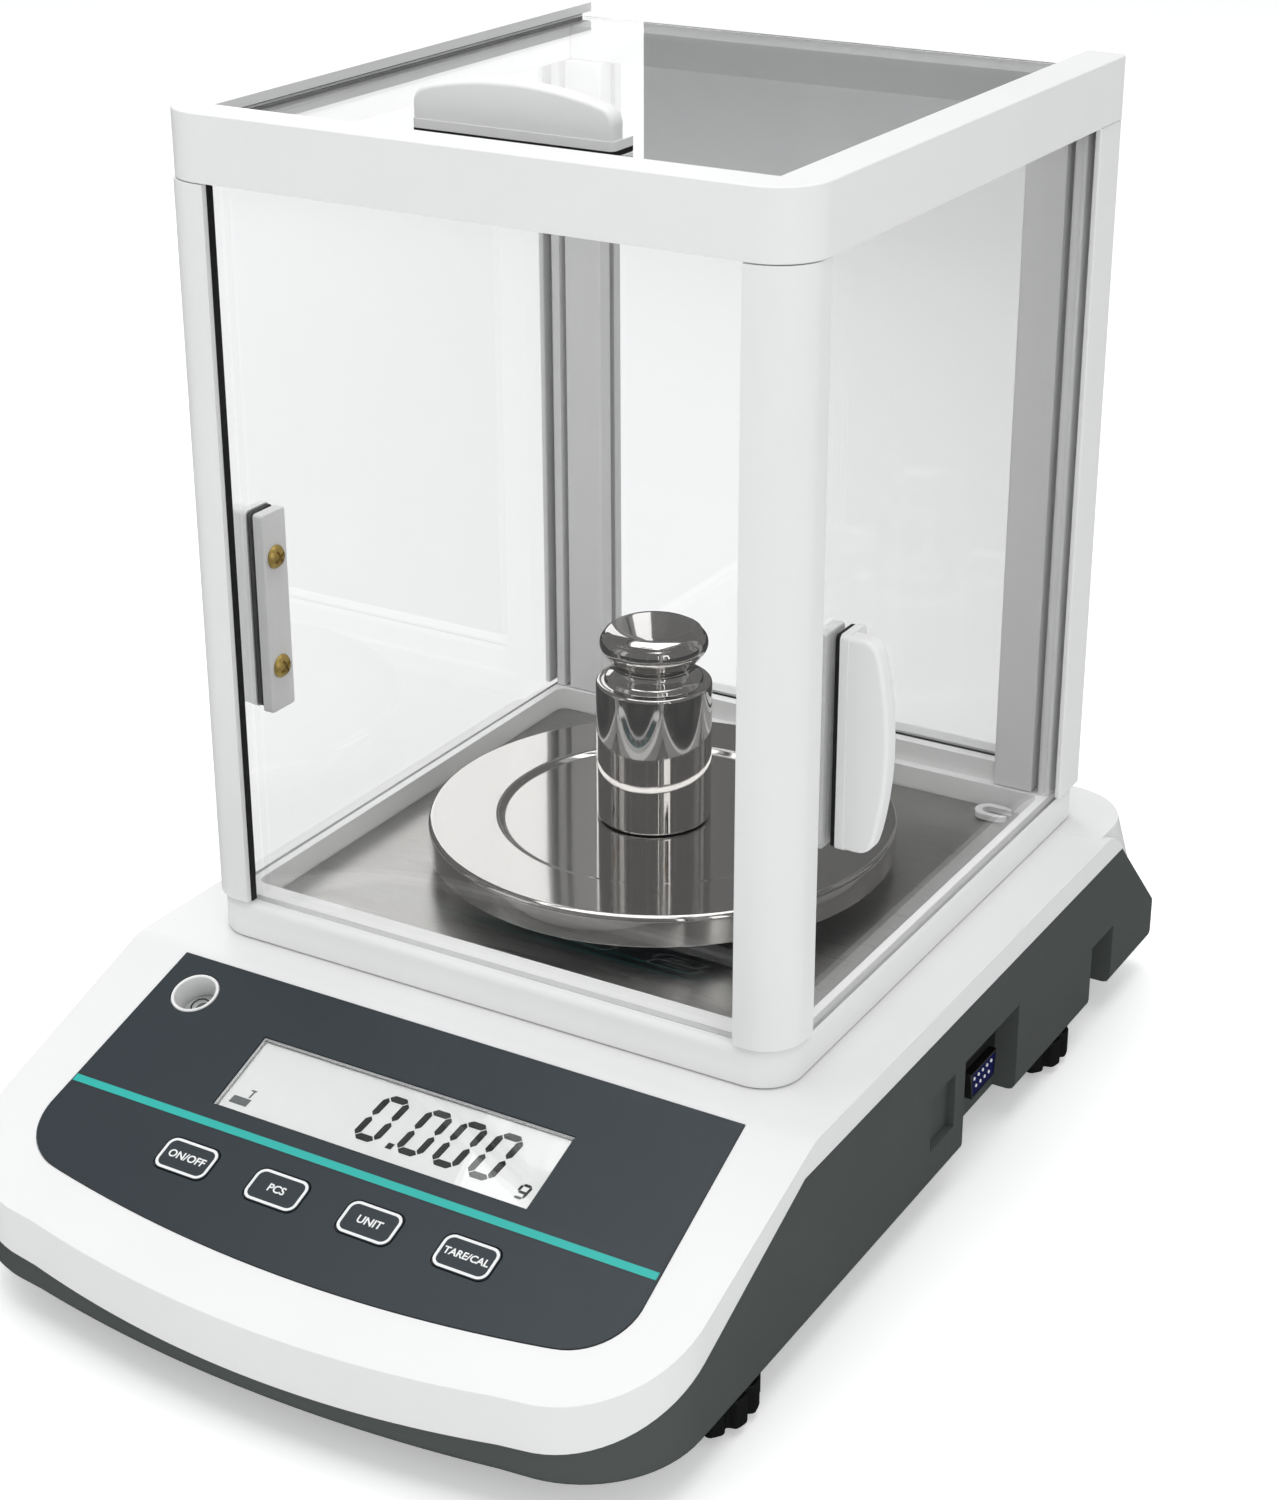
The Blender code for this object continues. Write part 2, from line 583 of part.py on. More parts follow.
def make_top_frame():
    y0 = SHIELD_FRONT - 0.7
    rail = 11.5
    outline = rounded(-FRAME_HALF, FRAME_HALF, y0, SHIELD_REAR, 13.0, 2.0, 8)
    frame = bevel(flat(outline, FRAME_LOW, FRAME_HIGH), 5.0, 5, 60)
    opening = box(-FRAME_HALF + rail, FRAME_HALF - rail, y0 + 11.0, SHIELD_REAR + 5,
                  FRAME_LOW - 5, FRAME_HIGH + 5)
    groove = box(-81.0, 81.0, y0 + 9.0, SHIELD_REAR + 5, LID_LOW - GAP, LID_LOW + GLASS + GAP)
    slots = [opening, groove]
    for sign in (-1, 1):
        slots.append(box(sign * DOOR_X - TRACK, sign * DOOR_X + TRACK, SHIELD_FRONT + 15.4,
                         SHIELD_REAR + 5, FRAME_LOW - 3, FRAME_LOW + 4.0))
    slots.append(box(-POST_INNER - 3.5, POST_INNER + 3.5, SHIELD_FRONT + 3.0,
                     SHIELD_FRONT + 6.8, FRAME_LOW - 3, FRAME_LOW + 2.5))
    finish("top_frame", cut(frame, *slots), WHITE)

    header = box(-FRAME_HALF + rail + GAP, FRAME_HALF - rail - GAP, SHIELD_REAR - 12.0,
                 SHIELD_REAR - 0.6, FRAME_LOW, LID_LOW - 2 * GAP)
    header = cut(header, box(-REAR_POST_INNER - 4, REAR_POST_INNER + 4, SHIELD_REAR - 9.0,
                             SHIELD_REAR - 5.4, FRAME_LOW - 3, FRAME_LOW + 3))
    finish("rear_header", header, GREY)

    front = box(-POST_INNER - 2.8, POST_INNER + 2.8, SHIELD_FRONT + 3.4, SHIELD_FRONT + 6.4,
                SILL_TOP - 1.2, FRAME_LOW + 2.0)
    finish("front_glass", front, GLASS_MAT)
    rear = box(-REAR_POST_INNER - 2.8, REAR_POST_INNER + 2.8, SHIELD_REAR - 8.7,
               SHIELD_REAR - 5.7, SILL_TOP + 3.4, FRAME_LOW + 2.5)
    finish("rear_glass", rear, GLASS_MAT)


def grip_outline():
    """Side view of a handle's fin as (along, out): an arched bar with rounded ends."""
    half, tall, corner, ease = 27.9, 13.2, 4.5, 198.6
    centre = half - corner
    arch = [(u, tall - u * u / ease) for u in (21, 14, 7, 0, -7, -14, -21)]
    return ([(-half, 1.0), (half, 1.0)] + arc(centre, 5.7, corner, 0, 76, 4) + arch
            + arc(-centre, 5.7, corner, 104, 180, 4))


FIN_THICK = 5.5
FLANGE_DEEP = 10.0
FLANGE_THICK = 2.2
PAD_THICK = 0.9


def make_door(side, sign):
    """A sliding pane with its handle: finned plate outside, plate inside, pad and two screws."""
    y0, y1 = SHIELD_FRONT + 15.9, SHIELD_REAR - 0.6
    mid_z = DECK + 85.5
    grip = SHIELD_FRONT + 24.8
    glass_in, glass_out = DOOR_X - GLASS / 2, DOOR_X + GLASS / 2
    seat = glass_out + PAD_THICK + 2 * GAP
    screw_y, spread = grip + 3.3, 15.7
    screw_z = (mid_z - spread, mid_z + spread)

    def along_x(radius, inner, outer, sides=12):
        low, high = sorted((sign * inner, sign * outer))
        return [rod(radius, screw_y, z, low, high, sides, axis="X") for z in screw_z]

    def slab(outline, inner, outer):
        low, high = sorted((sign * inner, sign * outer))
        return flat(outline, low, high, "YZ")

    x0, x1 = sorted((sign * glass_in, sign * glass_out))
    pane = box(x0, x1, y0, y1, SILL_TOP - 4.0, FRAME_LOW + 3.4)
    finish(side + "_door_glass", cut(pane, *along_x(2.6, glass_in - 4, glass_out + 4, 16)),
           GLASS_MAT)

    foot = rounded(grip, grip + FLANGE_DEEP, mid_z - 28.2, mid_z + 28.2, 1.5, steps=2)
    fin = flat([(sign * (seat + out), mid_z + along) for along, out in grip_outline()],
               grip + 0.2, grip + FIN_THICK, "XZ")
    outer = join(slab(foot, seat, seat + FLANGE_THICK), fin)
    finish(side + "_handle_outer", cut(outer, *along_x(1.6, glass_out, seat + 3.7, 16)), WHITE)

    plate = rounded(grip - 1.4, grip + 8.6, mid_z - 28.4, mid_z + 28.4, 1.0, steps=2)
    inner = bevel(slab(plate, glass_in - 3.6, glass_in - GAP), 0.4, 1, 60)
    finish(side + "_handle_inner", cut(inner, *along_x(2.0, glass_in - 5, glass_in)), GREY)

    pad = slab(foot, glass_out + GAP, glass_out + GAP + PAD_THICK)
    finish(side + "_handle_gasket", cut(pad, *along_x(2.6, glass_out - 1, seat + 1)), RUBBER)

    made = [side + "_door_glass", side + "_handle_outer", side + "_handle_inner",
            side + "_handle_gasket"]
    for label, z in zip(("lower", "upper"), screw_z):
        head = rod(3.3, screw_y, z, *sorted((sign * (glass_in - 3.9), sign * (glass_in - 5.7))),
                   20, axis="X")
        shank = rod(1.3, screw_y, z, *sorted((sign * (glass_in - 4.2), sign * (seat + 3.3))),
                    12, axis="X")
        face = sorted((sign * (glass_in - 4.9), sign * (glass_in - 7.0)))
        slot = box(face[0], face[1], screw_y - 2.0, screw_y + 2.0, z - 0.4, z + 0.4)
        cross = box(face[0], face[1], screw_y - 0.4, screw_y + 0.4, z - 2.0, z + 2.0)
        name = side + "_screw_" + label
        finish(name, cut(join(head, shank), slot, cross), BRASS)
        made.append(name)
    for name in made:
        set_origin(bpy.data.objects[name], sign * DOOR_X, y0, mid_z)


def make_lid():
    y0 = SHIELD_FRONT + 8.8
    grip = SHIELD_FRONT + 22.5
    top = LID_LOW + GLASS
    seat = top + PAD_THICK + 2 * GAP
    glass = box(-80.6, 80.6, y0, SHIELD_REAR - 0.4, LID_LOW, top)
    finish("lid_glass", glass, GLASS_MAT)
    foot = rounded(-28.2, 28.2, grip, grip + FLANGE_DEEP, 1.5, steps=2)
    finish("lid_handle_gasket", flat(foot, top + GAP, top + GAP + PAD_THICK), RUBBER)
    fin = flat([(along, seat + out) for along, out in grip_outline()],
               grip + 0.2, grip + FIN_THICK, "XZ")
    handle = join(flat(foot, seat, seat + FLANGE_THICK), fin)
    finish("lid_handle", handle, WHITE)
    for name in ("lid_glass", "lid_handle_gasket", "lid_handle"):
        set_origin(bpy.data.objects[name], 0, y0, LID_LOW)


# ---- pan and weight -----------------------------------------------------------------
def make_pan():
    inner = PAN_R * 0.68
    thick = 1.0
    profile = [(0, PAN_TOP - 1.2), (inner, PAN_TOP - 1.2), (inner + 1.2, PAN_TOP),
               (PAN_R - 1.0, PAN_TOP), (PAN_R - 0.3, PAN_TOP - 0.3), (PAN_R, PAN_TOP - 1.0),
               (PAN_R, PAN_TOP - PAN_RIM), (PAN_R - thick, PAN_TOP - PAN_RIM),
               (PAN_R - thick, PAN_TOP - 1.6), (inner + 1.2, PAN_TOP - 1.6),
               (inner, PAN_TOP - 2.8), (0, PAN_TOP - 2.8)]
    pan = turned(profile, 0, PAN_Y, 64)
    finish("pan", pan, STEEL)
    set_origin(pan, 0, PAN_Y, PAN_TOP)
    seat = PAN_TOP - 2.8 - GAP
    hub = turned([(0, seat), (13.0, seat), (13.0, seat - 1.6), (8.0, seat - 2.2),
                  (8.0, seat - 9.5), (5.5, seat - 9.5), (4.5, PAN_TOP - 6.0 + GAP),
                  (0, PAN_TOP - 6.0 + GAP)], 0, PAN_Y, 32)
    finish("pan_hub", hub, ALUMINIUM)
    set_origin(hub, 0, PAN_Y, PAN_TOP)

    base = PAN_TOP - 1.2 + GAP
    r, h = WEIGHT_R, WEIGHT_TALL
    profile = [(0, base + h)]
    profile += [(r * 0.55, base + h - 0.4), (r * 0.80, base + h - 1.8)]
    profile += arc(r * 0.80, base + h - 5.2, 3.2, 80, -60, 6)
    profile += [(r * 0.66, base + h - 9.4), (r * 0.60, base + h - 11.5),
                (r * 0.66, base + h - 13.4), (r * 0.84, base + h - 14.6)]
    profile += [(r - 0.7, base + h - 15.0), (r, base + h - 15.9), (r, base + 0.8),
                (r - 0.8, base), (0, base)]
    weight = turned(profile, -1.5, PAN_Y, 48)
    finish("calibration_weight", weight, POLISHED)
    set_origin(weight, -1.5, PAN_Y, base)


# ---- levelling feet -----------------------------------------------------------------
def make_foot(name, x, y):
    """A fluted knob on a screw stud, standing on a rubber pad."""
    knob_low, knob_high = PAD_TALL + GAP, BOTTOM - 0.6
    flutes = 14
    outline = []
    for i in range(flutes * 4):
        angle = 2 * math.pi * i / (flutes * 4)
        radius = KNOB_R - (1.6 if i % 4 in (2, 3) else 0.0)
        outline.append((x + radius * math.cos(angle), y + radius * math.sin(angle)))
    knob = flat(outline, knob_low, knob_high)
    knob = join(knob, rod(3.9, x, y, knob_high - 1, BOTTOM + 10.0, 16))
    finish(name + "_knob", knob, BLACK)
    set_origin(knob, x, y, knob_low)
    pad = turned([(0, PAD_TALL), (11.5, PAD_TALL), (12.0, PAD_TALL - 0.5), (12.0, 0.5),
                  (11.5, 0), (0, 0)], x, y, 32)
    finish(name + "_pad", pad, RUBBER)
    set_origin(pad, x, y, 0)


# ---- build --------------------------------------------------------------------------
make_housings()
make_panel()
make_works()
make_shield_base()
make_posts()
make_top_frame()
for door_side, door_sign in (("left", -1), ("right", 1)):
    make_door(door_side, door_sign)
make_lid()
make_pan()
for foot_name, foot_x, foot_y in (("foot_front_left", -FOOT_X, FOOT_FRONT),
                                  ("foot_front_right", FOOT_X, FOOT_FRONT),
                                  ("foot_rear_left", -FOOT_X, FOOT_REAR),
                                  ("foot_rear_right", FOOT_X, FOOT_REAR)):
    make_foot(foot_name, foot_x, foot_y)
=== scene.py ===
# %% [markdown]
# # An analytical balance, dressed for the studio
# A bench balance is a white moulded shell on a dark tray, with a sloping key panel, and a
# glass draft shield that keeps air off the pan. The frame brings in the engineered parts.
# This lesson builds finer shells round them, finishes every surface, and lights the bench.

# %% Load the frame
import math

import bmesh
import bpy
from mathutils import Matrix, Vector


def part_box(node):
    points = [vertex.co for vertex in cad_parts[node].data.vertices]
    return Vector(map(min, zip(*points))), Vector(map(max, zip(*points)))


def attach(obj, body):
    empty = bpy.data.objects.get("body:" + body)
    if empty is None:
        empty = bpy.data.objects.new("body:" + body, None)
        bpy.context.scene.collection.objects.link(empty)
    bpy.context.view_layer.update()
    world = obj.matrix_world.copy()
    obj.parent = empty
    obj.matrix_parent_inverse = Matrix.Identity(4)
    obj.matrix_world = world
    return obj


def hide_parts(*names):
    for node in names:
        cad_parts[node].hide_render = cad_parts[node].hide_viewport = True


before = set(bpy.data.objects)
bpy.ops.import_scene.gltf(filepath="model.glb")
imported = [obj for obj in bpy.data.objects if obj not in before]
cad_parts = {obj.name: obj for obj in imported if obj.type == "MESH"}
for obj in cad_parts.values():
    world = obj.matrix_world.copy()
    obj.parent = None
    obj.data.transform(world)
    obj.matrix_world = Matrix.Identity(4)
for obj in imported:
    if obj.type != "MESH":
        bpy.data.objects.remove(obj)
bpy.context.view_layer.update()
MM = 0.001

# %% [markdown]
# ## Where things are
# Every size that other parts depend on is read from the frame, so a changed frame moves the
# looks with it. Working in millimetres keeps the numbers as a maker would say them.

# %% Read the main sizes, in millimetres


def span(node):
    """Lowest and highest corner of a CAD node, in millimetres."""
    low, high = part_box(node)
    return Vector(low) / MM, Vector(high) / MM


def middle(node):
    """Centre of a CAD node, in millimetres."""
    return [(a + b) / 2 for a, b in zip(*span(node))]


tray_low, tray_high = span("lower_housing")
NOSE, TAIL = tray_low.y, tray_high.y
HALF = tray_high.x
BELLY = tray_low.z
DECK = span("upper_housing")[1].z
SHIELD_Y = span("shield_base")[0].y
SHIELD_DEEP, SILL_TALL = 186.0, 11.0
SHIELD_REAR = SHIELD_Y + SHIELD_DEEP
SILL = DECK + SILL_TALL
PAN_Y = middle("pan")[1]
print("housing %.0f x %.0f mm, deck at %.0f mm" % (2 * HALF, TAIL - NOSE, DECK))

# %% [markdown]
# ## Making solids
# A moulded or extruded part starts as a flat outline pushed to a thickness. Rounding its
# edges afterwards, and cutting holes with Boolean tools, follows how the real mould or die
# is made. The helpers work on plain meshes, so each piece ends as one clean closed surface.

# %% Outline helpers


def arc(cx, cy, radius, start, end, steps=8):
    """Points along an arc, angles in degrees."""
    turn = [math.radians(start + (end - start) * i / steps) for i in range(steps + 1)]
    return [(cx + radius * math.cos(t), cy + radius * math.sin(t)) for t in turn]


def rounded(x0, x1, y0, y1, front, rear=None, steps=8):
    """A rectangle with rounded corners: front ones at y0, rear ones at y1."""
    rear = front if rear is None else rear
    return (arc(x1 - front, y0 + front, front, -90, 0, steps)
            + arc(x1 - rear, y1 - rear, rear, 0, 90, steps)
            + arc(x0 + rear, y1 - rear, rear, 90, 180, steps)
            + arc(x0 + front, y0 + front, front, 180, 270, steps))


# %% Solid helpers
UP = Matrix.Identity(4)
ACROSS = Matrix.Rotation(math.pi / 2, 4, "Z") @ Matrix.Rotation(math.pi / 2, 4, "X")
BACK = Matrix.Rotation(math.pi / 2, 4, "X")


def keep(work, name="solid"):
    """Turn a finished bmesh into an object."""
    bmesh.ops.recalc_face_normals(work, faces=work.faces)
    mesh = bpy.data.meshes.new(name)
    work.to_mesh(mesh)
    work.free()
    made = bpy.data.objects.new(name, mesh)
    bpy.context.scene.collection.objects.link(made)
    return made


def push(outline, low, high, place=UP):
    """Push a flat outline from low to high: ACROSS takes (y, z) along X, BACK (x, z) along Y."""
    if place is BACK:
        low, high = -high, -low
    work = bmesh.new()
    ring = [work.verts.new((a * MM, b * MM, low * MM)) for a, b in outline]
    face = work.faces.new(ring)
    grown = bmesh.ops.extrude_face_region(work, geom=[face])
    top = [v for v in grown["geom"] if isinstance(v, bmesh.types.BMVert)]
    bmesh.ops.translate(work, vec=(0, 0, (high - low) * MM), verts=top)
    work.transform(place)
    return keep(work)


def taper(lower, low, upper, high):
    """A solid between two outlines with the same number of points, at two heights."""
    work = bmesh.new()
    rings = [[work.verts.new((a * MM, b * MM, z * MM)) for a, b in outline]
             for outline, z in ((lower, low), (upper, high))]
    for i in range(len(lower)):
        j = (i + 1) % len(lower)
        work.faces.new((rings[0][i], rings[0][j], rings[1][j], rings[1][i]))
    work.faces.new(rings[0][::-1])
    work.faces.new(rings[1])
    return keep(work)


def block(x0, x1, y0, y1, z0, z1, place=UP):
    """A plain block between two corners, used for cutting and joining."""
    return push([(x0, y0), (x1, y0), (x1, y1), (x0, y1)], z0, z1, place)


def disc(radius, x, y, z0, z1, place=UP, steps=48):
    """A round plug, used for cutting and joining."""
    return push(arc(x, y, radius, 0, 360 - 360 / steps, steps - 1), z0, z1, place)


def spin(profile, x, y, steps=128):
    """Spin an (r, z) profile, which runs top to bottom, round a vertical axis."""
    work = bmesh.new()
    rings = []
    for r, z in profile:
        if r < 1e-6:
            rings.append([work.verts.new((x * MM, y * MM, z * MM))])
            continue
        ring = []
        for i in range(steps):
            t = 2 * math.pi * i / steps
            ring.append(work.verts.new(((x + r * math.cos(t)) * MM,
                                        (y + r * math.sin(t)) * MM, z * MM)))
        rings.append(ring)
    for one, two in zip(rings, rings[1:]):
        for i in range(steps):
            j = (i + 1) % steps
            corners = [one[i % len(one)], two[i % len(two)],
                       two[j % len(two)], one[j % len(one)]]
            face = list(dict.fromkeys(corners))
            if len(face) > 2:
                work.faces.new(face)
    return keep(work)


def soften(made, width, segments=4, where=None, sharp=35.0):
    """Round the edges sharper than an angle, where a test on their middle says so."""
    work = bmesh.new()
    work.from_mesh(made.data)
    bmesh.ops.remove_doubles(work, verts=work.verts, dist=1e-6)
    chosen = []
    for edge in work.edges:
        middle = (edge.verts[0].co + edge.verts[1].co) / 2 / MM
        if len(edge.link_faces) == 2 and edge.calc_face_angle() > math.radians(sharp):
            if where is None or where(middle):
                chosen.append(edge)
    bmesh.ops.bevel(work, geom=chosen, offset=width * MM, segments=segments, profile=0.5,
                    affect="EDGES", clamp_overlap=True)
    work.to_mesh(made.data)
    work.free()
    return made


def combine(target, operation, others):
    """Run Boolean operations with the other solids, which are used up."""
    for other in others:
        step = target.modifiers.new(operation, "BOOLEAN")
        step.operation = operation
        step.object = other
    bpy.context.view_layer.update()
    graph = bpy.context.evaluated_depsgraph_get()
    mesh = bpy.data.meshes.new_from_object(target.evaluated_get(graph))
    target.modifiers.clear()
    target.data = mesh
    for other in others:
        bpy.data.objects.remove(other, do_unlink=True)
    return target


def cut(target, *others):
    return combine(target, "DIFFERENCE", others)


def join(target, *others):
    return combine(target, "UNION", others)


def common(target, *others):
    return combine(target, "INTERSECT", others)


made_pieces = []


def piece(made, name, material, body, *nodes, slot=None, crease=32.0):
    """Finish a solid: name, material, even shading, the body it rides on, what it replaces."""
    made.name = name
    made.data.name = name
    made.data.materials.clear()
    made.data.materials.append(material)
    made.data.shade_smooth()
    made.data.set_sharp_from_angle(angle=math.radians(crease))
    even = made.modifiers.new("even shading", "WEIGHTED_NORMAL")
    even.keep_sharp = True
    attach(made, body)
    if nodes:
        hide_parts(*nodes)
    made_pieces.append(name)
    return made


print("helpers ready")

# %% [markdown]
# ## Finishes
# Each finish begins with what the real material is and how its surface was made. One small
# function adds a node with its settings and links. Colours are given as sRGB hex values and
# turned to the linear values that the shader works in. Patterns are sized in millimetres.

# %% Material helpers


def linear(code):
    """An sRGB hex colour as linear RGBA."""
    parts = [int(code[i:i + 2], 16) / 255 for i in (1, 3, 5)]
    return tuple(c / 12.92 if c < 0.04045 else ((c + 0.055) / 1.055) ** 2.4
                 for c in parts) + (1.0,)


def add(tree, kind, links=None, **settings):
    """Add one shader node, set its properties and sockets, and link what is a socket."""
    made = tree.nodes.new("ShaderNode" + kind)
    for name, value in settings.items():
        setattr(made, name, value)
    for socket, value in (links or {}).items():
        if isinstance(value, bpy.types.NodeSocket):
            tree.links.new(value, made.inputs[socket])
        else:
            made.inputs[socket].default_value = value
    return made


def finish_base(name, roughness, metallic=0.0, **sockets):
    """A new material with one Principled shader and object coordinates in metres."""
    made = bpy.data.materials.new(name)
    made.use_nodes = True
    tree = made.node_tree
    tree.nodes.clear()
    shader = add(tree, "BsdfPrincipled", {"Roughness": roughness, "Metallic": metallic})
    for socket, value in sockets.items():
        shader.inputs[socket.replace("_", " ")].default_value = value
    out = add(tree, "OutputMaterial")
    tree.links.new(shader.outputs[0], out.inputs[0])
    place = add(tree, "TexCoord").outputs["Object"]
    return made, tree, shader, place


def moulded(name, light, dark, roughness, grain, relief, patch=30.0, **sockets):
    """Moulded plastic: a faint drift of colour, and the fine grain of the mould's surface."""
    made, tree, shader, place = finish_base(name, roughness, **sockets)
    drift = add(tree, "TexNoise", {"Vector": place, "Scale": 1 / (patch * MM), "Detail": 3.0})
    tint = add(tree, "MixRGB", {"Fac": drift.outputs[0], "Color1": linear(light),
                                "Color2": linear(dark)})
    pits = add(tree, "TexNoise", {"Vector": place, "Scale": 1 / (grain * MM), "Detail": 2.0})
    bump = add(tree, "Bump", {"Height": pits.outputs[0], "Strength": 0.35,
                              "Distance": relief * MM})
    gloss = add(tree, "MapRange", {"Value": pits.outputs[0], "To Min": roughness - 0.05,
                                   "To Max": roughness + 0.07})
    tree.links.new(tint.outputs[0], shader.inputs["Base Color"])
    tree.links.new(bump.outputs[0], shader.inputs["Normal"])
    tree.links.new(gloss.outputs[0], shader.inputs["Roughness"])
    return made


def brushed(name, light, dark, rough, stretch, line=0.25, relief=0.01, vary=0.08,
            metallic=1.0):
    """Metal drawn or brushed one way: noise stretched along the brushing direction."""
    made, tree, shader, place = finish_base(name, rough, metallic)
    scale = tuple(1 / (line * MM * s) for s in stretch)
    grain = add(tree, "Mapping", {"Vector": place, "Scale": scale})
    lines = add(tree, "TexNoise", {"Vector": grain.outputs[0], "Scale": 1.0, "Detail": 4.0})
    tint = add(tree, "MixRGB", {"Fac": lines.outputs[0], "Color1": linear(light),
                                "Color2": linear(dark)})
    gloss = add(tree, "MapRange", {"Value": lines.outputs[0], "To Min": rough - vary,
                                   "To Max": rough + vary})
    bump = add(tree, "Bump", {"Height": lines.outputs[0], "Strength": 0.25,
                              "Distance": relief * MM})
    tree.links.new(tint.outputs[0], shader.inputs["Base Color"])
    tree.links.new(gloss.outputs[0], shader.inputs["Roughness"])
    tree.links.new(bump.outputs[0], shader.inputs["Normal"])
    return made


def clear(name, tint, ior, shadow):
    """Glass or clear plastic that bends sight but lets lamp light through to what it covers."""
    made, tree, shader, _ = finish_base(name, 0.0, Transmission_Weight=1.0, IOR=ior)
    shader.inputs["Base Color"].default_value = linear(tint)
    open_air = add(tree, "BsdfTransparent", {"Color": linear(shadow)})
    path = add(tree, "LightPath")
    either = add(tree, "MixShader", {0: path.outputs["Is Shadow Ray"],
                                     1: shader.outputs[0], 2: open_air.outputs[0]})
    out = [n for n in tree.nodes if n.bl_idname == "ShaderNodeOutputMaterial"][0]
    tree.links.new(either.outputs[0], out.inputs[0])
    return made


# %% [markdown]
# **Plastics.** The shell is ABS moulded in a polished tool with a light satin, so it reads
# as clean white with a soft highlight. The tray is ABS from a spark-eroded tool, which
# leaves a pebble grain of about 0.7 mm. The panel is a printed polyester film, flatter and
# slightly glossier, with the ink on its back.

# %% Plastics, films and inks
white_abs = moulded("moulded white ABS", "#f0f0f0", "#ececeb", 0.38, 0.6, 0.012,
                    Specular_IOR_Level=0.45)
tray_abs = moulded("spark-grained dark grey ABS", "#545957", "#4e5351", 0.56, 0.7, 0.05,
                   Specular_IOR_Level=0.35)
film = moulded("printed polyester film", "#30383d", "#2d353b", 0.36, 0.8, 0.008,
               Specular_IOR_Level=0.35)
key_film = moulded("domed key film", "#30383d", "#2d353b", 0.40, 0.8, 0.008,
                   Specular_IOR_Level=0.35)
teal_ink = moulded("teal screen ink", "#1fb8af", "#1cb0a7", 0.42, 0.5, 0.004)
white_ink = moulded("white screen ink", "#f4f5f5", "#e9ebeb", 0.5, 0.4, 0.004)
screen_face = moulded("grey liquid crystal screen", "#ededec", "#e4e4e3", 0.22, 0.5, 0.002,
                      patch=45.0)
screen_ink = moulded("liquid crystal segments", "#08090a", "#0c0d0e", 0.3, 0.4, 0.002)
mark_ink = moulded("faded liquid crystal mark", "#6d6f70", "#5f6162", 0.3, 0.4, 0.002)
knob_abs = moulded("moulded black plastic", "#121314", "#18191a", 0.42, 0.6, 0.03)
# Black rubber is also the finish of the thin black strips that paint shade in the lid channels
# and on the front posts.
black_rubber_and_painted_shade = moulded("moulded black rubber, also painted shade", "#171717", "#202020", 0.8, 0.5, 0.06)
socket_blue = moulded("blue connector insulator", "#0a1560", "#08104c", 0.5, 0.5, 0.01,
                      Specular_IOR_Level=0.2)
board = moulded("green solder mask", "#1f6b43", "#185a37", 0.35, 0.8, 0.02)
print("plastics ready")

# %% [markdown]
# **Metals.** The chamber floor is stainless sheet with a brushed grain that runs side to
# side. The pan is pressed stainless, polished nearly to a mirror. The weight is turned,
# then mirror polished. The rear posts are extruded aluminium, drawn along their length.
# Metals take their tint from the base colour and keep the default index of refraction.

# %% Metals
floor_steel = brushed("brushed stainless sheet", "#c9c8c6", "#b4b3b1", 0.30, (60, 1, 60))
pan_steel = brushed("polished pressed stainless", "#dcdad8", "#d2d0ce", 0.07, (40, 1, 40),
                    0.3, 0.0001, 0.02)
mirror_steel = brushed("mirror-polished steel", "#dddbd9", "#d5d3d1", 0.04, (1, 1, 30),
                       0.5, 0.0003, 0.02)
extrusion = brushed("satin anodised aluminium", "#ececec", "#e2e2e2", 0.45, (1, 1, 80),
                    metallic=0.05)
cast_alloy = brushed("machined aluminium", "#b0b3b6", "#9fa2a5", 0.38, (30, 1, 1))
brass = brushed("bright turned brass", "#cdb162", "#b89a4e", 0.32, (1, 1, 1), 0.3,
                metallic=0.55)
print("metals ready")

# %% [markdown]
# **Clear parts.** The shield's panes are float glass, nearly without colour, and the lid's
# is slightly grey. The shader bends what is seen, while lamp light is let through, or the
# chamber would fall into its own shadow. The screen's window and the level's vial are
# acrylic.

# %% Clear materials
pane_glass = clear("float glass", "#fefefe", 1.5, "#f6f7f7")
lid_glass = clear("float glass, slightly grey", "#f1f2f2", 1.5, "#f3f3f3")
acrylic = clear("clear acrylic", "#f8f9f9", 1.49, "#f4f5f5")
print("clear materials ready")

# %% [markdown]
# ## The housing
# The housing is one form split into two mouldings: a bowed nose, wide front corners and a
# sloping panel. It is built as a plan outline crossed with a side outline, then its top
# edges are rounded by about 7 mm, as the mould has them. The white shell and the dark tray
# are cut from that form along the parting line, so they are sure to match.

# %% Housing form
SLOPE = math.radians(19.8)
CREST = NOSE + 92.5
PART_SIDE = DECK - 8.0
PART_NOSE = DECK - 47.3
KNEE = NOSE + 87.0
TAIL_TOP = TAIL - 36.0
APRON_LOW, APRON_IN = DECK - 26.0, 3.4
SKIN = 2.5
NOSE_BOW = 0.0013


def footprint(inset):
    """Plan outline: bowed nose, wide front corners, small rear corners."""
    half, radius = HALF - inset, 32.0 - inset
    edge = half - radius
    nose = NOSE + inset
    lean = math.degrees(math.atan(2 * NOSE_BOW * edge)) / 2
    xs = [edge * (i / 20 - 1) for i in range(1, 40)]
    front = [(x, nose + NOSE_BOW * x * x) for x in xs]
    rise = nose + NOSE_BOW * edge * edge + radius
    back = 5.0
    tail = TAIL - inset
    return (front + arc(edge, rise, radius, -90 + lean, 0, 18)
            + arc(half - back, tail - back, back, 0, 90)
            + arc(-half + back, tail - back, back, 90, 180)
            + arc(-edge, rise, radius, 180, 270 - lean, 18))


def tail_curve(drop, sum_yz, radius):
    """The tail's fall: a 45 degree slope where y + z is fixed, eased into the deck."""
    top = DECK - drop
    start = sum_yz - drop - top - radius * math.tan(math.pi / 8)
    foot = sum_yz - drop - (TAIL + 2)
    return [(TAIL + 2, foot)] + arc(start, top - radius, radius, 45, 90)


